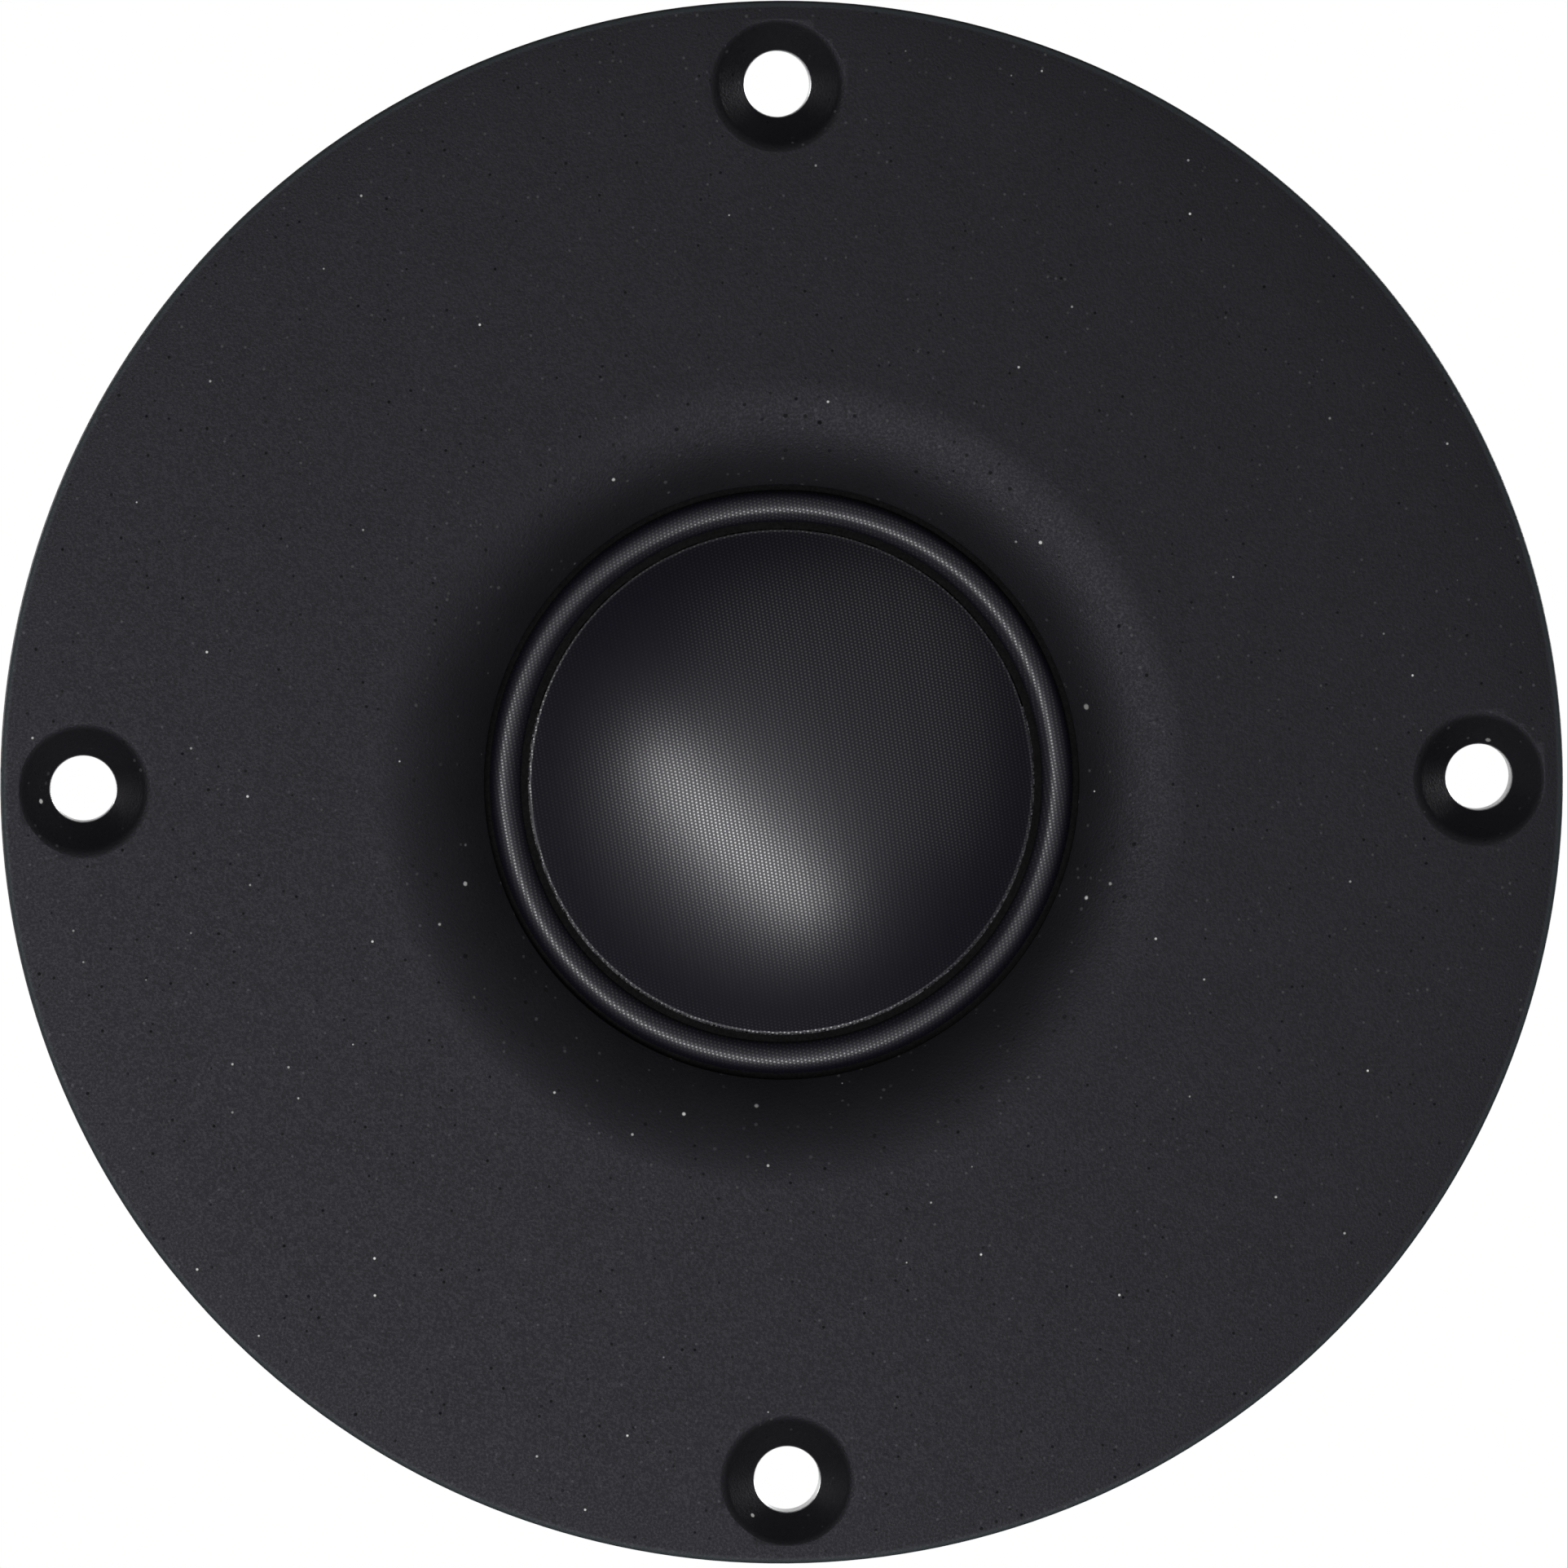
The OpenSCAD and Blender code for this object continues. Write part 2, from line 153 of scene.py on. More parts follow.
class Bench:
    """The operations that every piece is modelled with."""

    @staticmethod
    def clear() -> None:
        """Leaves edit mode and deselects everything."""
        if bpy.context.object and bpy.context.object.mode != "OBJECT":
            bpy.ops.object.mode_set(mode="OBJECT")
        bpy.ops.object.select_all(action="DESELECT")

    @classmethod
    def pick(cls, obj: bpy.types.Object) -> None:
        """Makes one object the selected and active one.

        Args:
            obj: The object.
        """
        cls.clear()
        obj.select_set(True)
        bpy.context.view_layer.objects.active = obj

    @classmethod
    def settle(cls, obj: bpy.types.Object) -> bpy.types.Object:
        """Puts a piece's place into its mesh, so that its object sits at the origin.

        Args:
            obj: The piece.

        Returns:
            The same piece.
        """
        cls.pick(obj)
        bpy.ops.object.transform_apply(location=True, rotation=True, scale=True)
        return obj

    @classmethod
    def lathe(
        cls, name: str, section: list[Point], closed: bool = True, steps: int = TURN_STEPS
    ) -> bpy.types.Object:
        """Turns a half section about the axis, ring by ring, from a circle.

        Args:
            name: The piece's name.
            section: The outline. A first or last point on the axis closes the piece there.
            closed: Whether the last point joins the first.
            steps: Number of points in each ring.

        Returns:
            The turned piece, with its faces outwards.
        """
        cls.clear()
        start_tip = section[0] if section[0][0] == 0 else None
        end_tip = section[-1] if section[-1][0] == 0 else None
        rings = section[1 if start_tip else 0 : -1 if end_tip else None]
        if closed and not start_tip and not end_tip:
            rings = rings + rings[:1]
        radius, height = rings[0]
        bpy.ops.mesh.primitive_circle_add(
            vertices=steps,
            radius=radius * MM,
            location=(0, -height * MM, 0),
            rotation=(math.pi / 2, 0, 0),
        )
        obj = bpy.context.object
        obj.name = obj.data.name = name
        cls.settle(obj)
        bpy.ops.object.mode_set(mode="EDIT")
        bpy.ops.mesh.select_all(action="SELECT")
        for (r0, h0), (r1, h1) in pairwise(rings):
            cls.grow(h1 - h0, r1 / r0)
        if end_tip:
            cls.grow(end_tip[1] - rings[-1][1], 0.5)
            bpy.ops.mesh.merge(type="CENTER")
        if start_tip:
            cls.take(obj, lambda v: v.index < steps)
            cls.grow(start_tip[1] - rings[0][1], 0.5)
            bpy.ops.mesh.merge(type="CENTER")
        cls.close_up()
        return obj

    @staticmethod
    def grow(rise: float, factor: float) -> None:
        """Extrudes the selected ring and scales it about the axis.

        Args:
            rise: How far forwards it goes, in millimetres.
            factor: How many times wider it gets.
        """
        bpy.ops.mesh.extrude_edges_move(TRANSFORM_OT_translate={"value": (0, -rise * MM, 0)})
        bpy.ops.transform.resize(value=(factor, 1, factor), center_override=(0, 0, 0))

    @staticmethod
    def take(obj: bpy.types.Object, wanted: Callable[[bmesh.types.BMVert], bool]) -> None:
        """Selects some points of a mesh in edit mode.

        Args:
            obj: The piece.
            wanted: Says of each point whether it is selected.
        """
        bpy.ops.mesh.select_all(action="DESELECT")
        mesh = bmesh.from_edit_mesh(obj.data)
        mesh.verts.ensure_lookup_table()
        for v in mesh.verts:
            v.select = wanted(v)
        mesh.select_flush(True)
        bmesh.update_edit_mesh(obj.data)

    @staticmethod
    def close_up() -> None:
        """Merges doubles, turns every face outwards and leaves edit mode."""
        bpy.ops.mesh.select_all(action="SELECT")
        bpy.ops.mesh.remove_doubles(threshold=1e-7)
        bpy.ops.mesh.normals_make_consistent(inside=False)
        bpy.ops.object.mode_set(mode="OBJECT")

    @classmethod
    def block(cls, name: str, low: Place, high: Place) -> bpy.types.Object:
        """A block with its faces along the axes of the row frame.

        Args:
            name: The block's name.
            low: Its corner with the lowest x, y and z, in millimetres.
            high: The opposite corner.

        Returns:
            The block.
        """
        cls.clear()
        middle = [(a + b) / 2 * MM for a, b in zip(low, high)]
        bpy.ops.mesh.primitive_cube_add(size=1, location=middle)
        obj = bpy.context.object
        obj.name = obj.data.name = name
        obj.scale = [(b - a) * MM for a, b in zip(low, high)]
        return cls.settle(obj)

    @classmethod
    def cut(cls, obj: bpy.types.Object, tools: list[bpy.types.Object]) -> None:
        """Cuts the tools' shapes out of a piece and throws the tools away.

        Args:
            obj: The piece.
            tools: The closed shapes to cut out.
        """
        for tool in tools:
            cls.combine(obj, tool, "DIFFERENCE")

    @classmethod
    def combine(cls, obj: bpy.types.Object, tool: bpy.types.Object, operation: str) -> None:
        """Combines a piece with a tool's shape and throws the tool away.

        Args:
            obj: The piece.
            tool: The other closed shape.
            operation: The Boolean modifier's operation.
        """
        cls.pick(obj)
        step = obj.modifiers.new("combine", "BOOLEAN")
        step.operation = operation
        step.object = tool
        step.solver = "EXACT"
        bpy.ops.object.modifier_apply(modifier=step.name)
        bpy.data.objects.remove(tool, do_unlink=True)

    @classmethod
    def bar(
        cls, radius: float, middle: Place, length: float, steps: int, turn: float = math.pi / 2
    ) -> bpy.types.Object:
        """A round bar.

        Args:
            radius: Its radius in millimetres.
            middle: Its middle in the row frame, in millimetres.
            length: Its length in millimetres.
            steps: Number of points round it.
            turn: Turn about X in radians. A quarter turn lays it along the tweeter's axis.

        Returns:
            The bar.
        """
        cls.clear()
        bpy.ops.mesh.primitive_cylinder_add(
            vertices=steps,
            radius=radius * MM,
            depth=length * MM,
            location=[part * MM for part in middle],
            rotation=(turn, 0, 0),
        )
        return cls.settle(bpy.context.object)

    @classmethod
    def soften(cls, obj: bpy.types.Object, width: float, angle: float = 35, steps: int = 2) -> None:
        """Rounds a piece's sharp edges.

        Args:
            obj: The piece.
            width: Width of the round in millimetres.
            angle: Least angle of an edge that counts as sharp, in degrees.
            steps: Number of facets across the round.
        """
        cls.pick(obj)
        step = obj.modifiers.new("soften", "BEVEL")
        step.width = width * MM
        step.segments = steps
        step.limit_method = "ANGLE"
        step.angle_limit = math.radians(angle)
        step.harden_normals = False
        bpy.ops.object.modifier_apply(modifier=step.name)

    @classmethod
    def join(cls, name: str, parts: list[bpy.types.Object]) -> bpy.types.Object:
        """Joins parts into one piece.

        Args:
            name: The piece's name.
            parts: Its parts, of which the first becomes the piece.

        Returns:
            The piece.
        """
        cls.clear()
        for part in parts:
            part.select_set(True)
        bpy.context.view_layer.objects.active = parts[0]
        bpy.ops.object.join()
        parts[0].name = parts[0].data.name = name
        return parts[0]

    @classmethod
    def copies(cls, obj: bpy.types.Object, angles: list[float]) -> list[bpy.types.Object]:
        """Puts turned copies of a part in place of it, each with its own mesh.

        Args:
            obj: The part, which goes.
            angles: The copies' turns about the axis in degrees.

        Returns:
            The copies.
        """
        made = []
        for angle in angles:
            copy = obj.copy()
            copy.data = obj.data.copy()
            bpy.context.collection.objects.link(copy)
            copy.rotation_euler = (0, -math.radians(angle), 0)
            made.append(cls.settle(copy))
        bpy.data.objects.remove(obj, do_unlink=True)
        return made

    @classmethod
    def steady(cls, obj: bpy.types.Object) -> None:
        """Lets large flat faces keep their own shading where they meet small curved ones.

        Args:
            obj: The piece.
        """
        cls.pick(obj)
        step = obj.modifiers.new("steady", "WEIGHTED_NORMAL")
        step.mode = "FACE_AREA"
        step.weight = 100
        step.keep_sharp = True
        bpy.ops.object.modifier_apply(modifier=step.name)

    @classmethod
    def smooth(cls, obj: bpy.types.Object, angle: float = 30) -> None:
        """Shades a piece smooth, with creases at its sharp edges.

        Args:
            obj: The piece.
            angle: Least angle of an edge that counts as sharp, in degrees.
        """
        cls.pick(obj)
        bpy.ops.object.shade_smooth_by_angle(angle=math.radians(angle))


@dataclass(frozen=True)
class Span:
    """Where a round CAD node lies: its outer radius and the heights of its two ends."""

    radius: float
    rear: float
    front: float

    @classmethod
    def of(cls, node: str) -> "Span":
        """Reads the span of a node from the frame.

        Args:
            node: The CAD node's name.

        Returns:
            Its span.
        """
        low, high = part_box(node)
        return cls((high[0] - low[0]) / 2 / MM, -high[1] / MM, -low[1] / MM)


# ---------------------------------------------------------------------------------------------
# Finishes
# ---------------------------------------------------------------------------------------------


class Graph:
    """A node tree being wired up. A feed is a socket, or a plain value for an unlinked input."""

    MIX_INPUTS = (0, 6, 7)  # the factor and the two colours of a Mix node
    MIX_OUTPUT = 2  # its mixed colour

    def __init__(self, tree: bpy.types.NodeTree) -> None:
        """Starts on a tree."""
        self.tree = tree

    def add(self, kind: str, **settings: object) -> bpy.types.Node:
        """Adds a node.

        Args:
            kind: The node's type.
            **settings: Its properties by name.

        Returns:
            The node.
        """
        node = self.tree.nodes.new(kind)
        for key, value in settings.items():
            setattr(node, key, value)
        return node

    def feed(self, target: Socket, value: Feed) -> None:
        """Links a socket to an input, or writes a plain value into it.

        Args:
            target: The input.
            value: What it gets.
        """
        if isinstance(value, Socket):
            self.tree.links.new(value, target)
        elif isinstance(value, tuple) and target.type == "RGBA":
            target.default_value = (*value, 1)
        else:
            target.default_value = value

    def math(self, operation: str, *values: Feed, clamp: bool = False) -> Socket:
        """A Math node.

        Args:
            operation: What it works out.
            *values: Its inputs in order.
            clamp: Whether the result is held between 0 and 1.

        Returns:
            The result.
        """
        node = self.add("ShaderNodeMath", operation=operation, use_clamp=clamp)
        for target, value in zip(node.inputs, values):
            self.feed(target, value)
        return node.outputs[0]

    def ramp(
        self, value: Feed, low: float, high: float, to_low: float = 0.0, to_high: float = 1.0
    ) -> Socket:
        """Maps a value smoothly from one range to another, and holds it outside.

        Args:
            value: The value.
            low: Where the first range starts.
            high: Where it ends.
            to_low: The result at low.
            to_high: The result at high.

        Returns:
            The result.
        """
        node = self.add("ShaderNodeMapRange", interpolation_type="SMOOTHSTEP")
        given = {"Value": value, "From Min": low, "From Max": high, "To Min": to_low, "To Max": to_high}
        for key, part in given.items():
            self.feed(node.inputs[key], part)
        return node.outputs[0]

    def mix(self, factor: Feed, first: Feed, second: Feed) -> Socket:
        """Mixes two colours.

        Args:
            factor: Share of the second.
            first: The first colour.
            second: The second colour.

        Returns:
            The mixed colour.
        """
        node = self.add("ShaderNodeMix", data_type="RGBA")
        for at, value in zip(self.MIX_INPUTS, (factor, first, second)):
            self.feed(node.inputs[at], value)
        return node.outputs[self.MIX_OUTPUT]

    def share(self, first: Feed, part: float, second: Feed) -> Socket:
        """A weighted mean of two values.

        Args:
            first: The first value.
            part: Its share, from 0 to 1.
            second: The second value, which has the rest.

        Returns:
            The mean.
        """
        return self.math("MULTIPLY_ADD", first, part, self.math("MULTIPLY", second, 1 - part))

    def scaled(self, vector: Feed, factor: Feed) -> Socket:
        """A vector times a number.

        Args:
            vector: The vector.
            factor: The number.

        Returns:
            The scaled vector.
        """
        node = self.add("ShaderNodeVectorMath", operation="SCALE")
        self.feed(node.inputs[0], vector)
        self.feed(node.inputs["Scale"], factor)
        return node.outputs[0]

    def noise(self, vector: Feed, per_mm: Feed, detail: float = 2.0) -> Socket:
        """Noise from 0 to 1.

        Args:
            vector: Where it is read, in millimetres.
            per_mm: How many features lie in a millimetre.
            detail: How much finer noise is laid over it.

        Returns:
            The noise.
        """
        node = self.add("ShaderNodeTexNoise")
        self.feed(node.inputs["Vector"], vector)
        self.feed(node.inputs["Scale"], per_mm)
        node.inputs["Detail"].default_value = detail
        return node.outputs[0]

    def split(self, vector: Feed) -> list[Socket]:
        """The x, y and z of a vector.

        Args:
            vector: The vector.

        Returns:
            Its three parts.
        """
        node = self.add("ShaderNodeSeparateXYZ")
        self.feed(node.inputs[0], vector)
        return list(node.outputs)

    def place(self) -> Socket:
        """The piece's own coordinates in millimetres."""
        return self.scaled(self.add("ShaderNodeTexCoord").outputs["Object"], 1 / MM)

    def turned(self, vector: Feed, angle: float) -> Socket:
        """A vector turned about the axis.

        Args:
            vector: The vector.
            angle: The turn in degrees.

        Returns:
            The turned vector.
        """
        node = self.add("ShaderNodeMapping")
        self.feed(node.inputs["Vector"], vector)
        node.inputs["Rotation"].default_value = (0, math.radians(angle), 0)
        return node.outputs[0]

    def off_axis(self, vector: Feed) -> Socket:
        """The distance of a point from the tweeter's axis."""
        x, _, z = self.split(vector)
        return self.math("SQRT", self.math("ADD", self.math("POWER", x, 2), self.math("POWER", z, 2)))

    def effect(self, effect: "Effect", **values: Feed) -> Outputs:
        """Places a shared effect.

        Args:
            effect: Which effect.
            **values: Its inputs by name.

        Returns:
            Its outputs by name.
        """
        node = self.add("ShaderNodeGroup", node_tree=effect.tree())
        for key, value in values.items():
            self.feed(node.inputs[key], value)
        return {out.name: out for out in node.outputs}

    def bump(self, height: Feed, depth: float) -> Socket:
        """A bumpy normal.

        Args:
            height: The bumps, from 0 to 1.
            depth: How deep they are, in millimetres.

        Returns:
            The normal.
        """
        node = self.add("ShaderNodeBump")
        node.inputs["Strength"].default_value = 1
        node.inputs["Distance"].default_value = depth * MM
        self.feed(node.inputs["Height"], height)
        return node.outputs[0]


class Effect(Enum):
    """The effects that several finishes share, each a shader node group that is built once."""

    GRAIN = "fine_grain"
    SPECKS = "specks"
    WEAVE = "plain_weave"
    TURNING = "turning_marks"
    FIBRES = "fibres"

    def tree(self) -> bpy.types.NodeTree:
        """The effect's node group, made on first use.

        Returns:
            The node group.
        """
        held = bpy.data.node_groups.get(self.value)
        if held:
            return held
        tree = bpy.data.node_groups.new(self.value, "ShaderNodeTree")
        getattr(self, f"_{self.name.lower()}")(tree)
        return tree

    @staticmethod
    def _sockets(
        tree: bpy.types.NodeTree, inputs: dict[str, float | None], outputs: list[str]
    ) -> tuple[Graph, Outputs, Inputs]:
        """Gives a group its sockets.

        Args:
            tree: The group.
            inputs: Its inputs and their values. An input of None is a vector.
            outputs: Its outputs, all numbers.

        Returns:
            The group as a graph, what comes in by name, and where the results go.
        """
        for name, value in inputs.items():
            kind = "NodeSocketVector" if value is None else "NodeSocketFloat"
            made = tree.interface.new_socket(name, in_out="INPUT", socket_type=kind)
            if value is not None:
                made.default_value = value
        for name in outputs:
            tree.interface.new_socket(name, in_out="OUTPUT", socket_type="NodeSocketFloat")
        graph = Graph(tree)
        source = graph.add("NodeGroupInput")
        sink = graph.add("NodeGroupOutput")
        return graph, {out.name: out for out in source.outputs}, sink.inputs

    def _grain(self, tree: bpy.types.NodeTree) -> None:
        """Sand-textured coat: rounded grains with fine detail, and broad clouds of tone.

        Args:
            tree: The group to fill.
        """
        finer, broader, coarse_part = 2.7, 0.04, 0.65
        g, given, results = self._sockets(tree, {"Vector": None, "Size": 0.25}, ["Height", "Cloud"])
        per_mm = g.math("DIVIDE", 1, given["Size"])
        coarse = g.noise(given["Vector"], per_mm, 3)
        fine = g.noise(given["Vector"], g.math("MULTIPLY", per_mm, finer), 2)
        cloud = g.noise(given["Vector"], g.math("MULTIPLY", per_mm, broader), 3)
        height = g.math(
            "ADD", g.math("MULTIPLY", coarse, coarse_part), g.math("MULTIPLY", fine, 1 - coarse_part)
        )
        g.feed(results["Height"], g.ramp(height, 0.32, 0.68))
        g.feed(results["Cloud"], g.ramp(cloud, 0.3, 0.7))

    def _specks(self, tree: bpy.types.NodeTree) -> None:
        """Scattered round specks. Share is the part of the cells that hold one.

        Args:
            tree: The group to fill.
        """
        smallest, faintest = 0.5, 0.25
        inputs = {"Vector": None, "Spacing": 2.0, "Radius": 0.1, "Share": 0.3}
        g, given, results = self._sockets(tree, inputs, ["Mask"])
        cells = g.add("ShaderNodeTexVoronoi")
        g.feed(cells.inputs["Vector"], given["Vector"])
        g.feed(cells.inputs["Scale"], g.math("DIVIDE", 1, given["Spacing"]))
        distance = g.math("MULTIPLY", cells.outputs["Distance"], given["Spacing"])
        chance = g.add("ShaderNodeSeparateColor")
        g.feed(chance.inputs[0], cells.outputs["Color"])
        held, size, weight = chance.outputs
        reach = g.math("MULTIPLY", given["Radius"], g.math("ADD", size, smallest))
        near = g.math("SUBTRACT", 1, g.math("DIVIDE", distance, reach), clamp=True)
        kept = g.math("LESS_THAN", held, given["Share"])
        weight = g.math("MULTIPLY_ADD", weight, 1 - faintest, faintest)
        mask = g.math("MULTIPLY", g.ramp(near, 0.0, 0.5), g.math("MULTIPLY", kept, weight))
        g.feed(results["Mask"], mask)

    def _weave(self, tree: bpy.types.NodeTree) -> None:
        """Plain weave seen along the axis: each thread bends over and under the next.

        Args:
            tree: The group to fill.
        """
        wander_per_mm, wander_by = 0.2, 0.2
        warp_thin, weft_thin, weft_height = 3.1, 2.1, 0.55
        inputs = {"Vector": None, "Pitch": 0.26, "Row": 0.11}
        g, given, results = self._sockets(tree, inputs, ["Height", "Warp", "Thread"])
        wander = g.add("ShaderNodeTexNoise")
        g.feed(wander.inputs["Vector"], given["Vector"])
        wander.inputs["Scale"].default_value = wander_per_mm
        wander.inputs["Detail"].default_value = 2
        bent = g.add("ShaderNodeVectorMath", operation="MULTIPLY_ADD")
        g.feed(bent.inputs[0], wander.outputs["Color"])
        g.feed(bent.inputs[1], (wander_by, wander_by, wander_by))
        g.feed(bent.inputs[2], given["Vector"])
        x, _, z = g.split(bent.outputs[0])
        across = g.math("DIVIDE", x, given["Pitch"])
        along = g.math("DIVIDE", z, given["Row"])
        column = g.math("FLOOR", across)
        row = g.math("FLOOR", along)
        fx = g.math("SUBTRACT", g.math("FRACT", across), 0.5)
        fz = g.math("SUBTRACT", g.math("FRACT", along), 0.5)
        odd = g.math("PINGPONG", g.math("ADD", column, row), 1)
        sign = g.math("SUBTRACT", 1, g.math("MULTIPLY", odd, 2))
        warp = self._thread(g, fx, fz, sign, warp_thin)
        weft = self._thread(g, fz, fx, g.math("MULTIPLY", sign, -1), weft_thin)
        weft = g.math("MULTIPLY", weft, weft_height)
        g.feed(results["Height"], g.math("MAXIMUM", warp, weft))
        g.feed(results["Warp"], g.ramp(g.math("SUBTRACT", warp, weft), -0.15, 0.15))
        white = g.add("ShaderNodeTexWhiteNoise", noise_dimensions="1D")
        g.feed(white.inputs["W"], g.math("ADD", column, 0.5))
        g.feed(results["Thread"], white.outputs[0])

    @staticmethod
    def _thread(g: Graph, side: Feed, way: Feed, sign: Feed, thin: float) -> Socket:
        """Height of one thread in its cell: round across, and bent over or under along its way.

        Args:
            g: The group as a graph.
            side: Place across the thread, from -0.5 to 0.5.
            way: Place along it, from -0.5 to 0.5.
            sign: 1 where the thread passes over the other one, -1 where it passes under.
            thin: How much thinner than its cell it is. At 2 it fills the cell.

        Returns:
            The height, from 0 to 1.
        """
        middle = 0.62
        flat = g.math("SUBTRACT", 1, g.math("POWER", g.math("MULTIPLY", side, thin), 2), clamp=True)
        rise = g.math("MULTIPLY", sign, g.math("COSINE", g.math("MULTIPLY", way, math.pi)))
        lift = g.math("ADD", middle, g.math("MULTIPLY", rise, 1 - middle))
        return g.math("MULTIPLY", g.math("SQRT", flat), lift)

    def _turning(self, tree: bpy.types.NodeTree) -> None:
        """Fine rings left by a lathe on faces and rims.

        Args:
            tree: The group to fill.
        """
        g, given, results = self._sockets(tree, {"Vector": None, "Pitch": 0.12}, ["Height"])
        _, y, _ = g.split(given["Vector"])
        way = g.math("ADD", g.off_axis(given["Vector"]), y)
        rings = g.add("ShaderNodeTexNoise", noise_dimensions="1D")
        g.feed(rings.inputs["W"], way)
        g.feed(rings.inputs["Scale"], g.math("DIVIDE", 1, given["Pitch"]))
        rings.inputs["Detail"].default_value = 3
        g.feed(results["Height"], rings.outputs[0])

    def _fibres(self, tree: bpy.types.NodeTree) -> None:
        """Tangled fibres, as ridges of bent noise.

        Args:
            tree: The group to fill.
        """
        ridge_width = 0.09
        g, given, results = self._sockets(tree, {"Vector": None, "Size": 0.8}, ["Height"])
        wave = g.noise(given["Vector"], g.math("DIVIDE", 1, given["Size"]), 5)
        ridge = g.math("ABSOLUTE", g.math("SUBTRACT", wave, 0.5))
        g.feed(results["Height"], g.ramp(ridge, 0.0, ridge_width, 1.0, 0.0))


def shade(colour: Colour, factor: float) -> Colour:
    """A colour made darker or lighter, up to white."""
    return tuple(min(1.0, part * factor) for part in colour)


@dataclass(frozen=True)
class Scatter:
    """Specks: how far apart and how big they are, and the share of places that hold one."""

    spacing: float
    radius: float
    share: float

    def mask(self, g: Graph, at: Socket) -> Socket:
        """Where the specks lie.

        Args:
            g: The graph.
            at: The piece's own coordinates.

        Returns:
            The mask, from 0 to 1.
        """
        sizes = {"Spacing": self.spacing, "Radius": self.radius, "Share": self.share}
        return g.effect(Effect.SPECKS, Vector=at, **sizes)["Mask"]


@dataclass(frozen=True)
class Finish:
    """What every finish has: a name and a way to make its material once."""

    name: str

    def material(self) -> bpy.types.Material:
        """The finish as a material, made on first use.

        Returns:
            The material.
        """
        name = f"{self.name}_finish"
        held = bpy.data.materials.get(name)
        if held:
            return held
        made = bpy.data.materials.new(name)
        made.use_nodes = True
        shader = made.node_tree.nodes["Principled BSDF"]
        self.wire(Graph(made.node_tree), shader.inputs)
        return made

    def wire(self, g: Graph, shader: Inputs) -> None:
        """Wires the finish to the shader. Every kind of finish has its own way.

        Args:
            g: The material as a graph.
            shader: The shader's inputs.
        """
        raise NotImplementedError


@dataclass(frozen=True)
class PowderCoat(Finish):
    """Sand-textured black coat with tiny pits, glinting grains, a worn edge and stray dust."""

    dark: Colour = (0.0020, 0.0019, 0.0027)
    light: Colour = (0.0068, 0.0066, 0.0084)
    # painted shade: near-black colour standing for the shade inside the pits
    pit_shade: Colour = (0.001, 0.001, 0.001)
    glinting: Colour = (0.07, 0.07, 0.075)
    worn: Colour = (0.045, 0.058, 0.060)
    dusty: Colour = (0.62, 0.62, 0.60)
    grain: float = 0.17
    depth: float = 0.01
    pits: Scatter = Scatter(0.8, 0.14, 0.5)
    glints: Scatter = Scatter(0.7, 0.11, 0.5)
    dust: Scatter = Scatter(2.4, 0.17, 0.75)
    rim: float = 52.0
    front: float = 4.5
    wear: float = 0.7
    specular: float = 0.225

    def wire(self, g: Graph, shader: Inputs) -> None:
        """Grain drives tone, roughness and bump. Painted shade darkens the pits, and dust lies on top.

        Args:
            g: The material as a graph.
            shader: The shader's inputs.
        """
        at = g.place()
        grain = g.effect(Effect.GRAIN, Vector=at, Size=self.grain)
        pits = self.pits.mask(g, at)
        glints = self.glints.mask(g, at)
        colour = g.mix(g.share(grain["Height"], 0.75, grain["Cloud"]), self.dark, self.light)
        # painted shade: the pits are darkened in colour
        colour = g.mix(pits, colour, self.pit_shade)
        colour = g.mix(g.math("MULTIPLY", glints, 0.5), colour, self.glinting)
        colour = g.mix(g.math("MULTIPLY", self.worn_edge(g, at), 0.55), colour, self.worn)
        colour = g.mix(self.dust.mask(g, at), colour, self.dusty)
        g.feed(shader["Base Color"], colour)
        rough = g.ramp(grain["Height"], 0.0, 1.0, 0.6, 0.45)
        g.feed(shader["Roughness"], g.math("ADD", rough, g.math("MULTIPLY", pits, 0.4)))
        height = g.math("SUBTRACT", grain["Height"], g.math("MULTIPLY", pits, 1.5))
        g.feed(shader["Normal"], g.bump(height, self.depth))
        shader["Specular IOR Level"].default_value = self.specular
        shader["Specular Tint"].default_value = (0.9, 0.88, 1.0, 1)

    def worn_edge(self, g: Graph, at: Socket) -> Socket:
        """The outer edge where the coat is thin, strongest near the front.

        Args:
            g: The material as a graph.
            at: The piece's own coordinates.

        Returns:
            The mask, from 0 to 1.
        """
        _, y, _ = g.split(at)
        ahead = g.ramp(y, self.wear - self.front, -self.front, 0.15, 1.0)
        return g.math("MULTIPLY", g.ramp(g.off_axis(at), self.rim - 0.55, self.rim - 0.1), ahead)


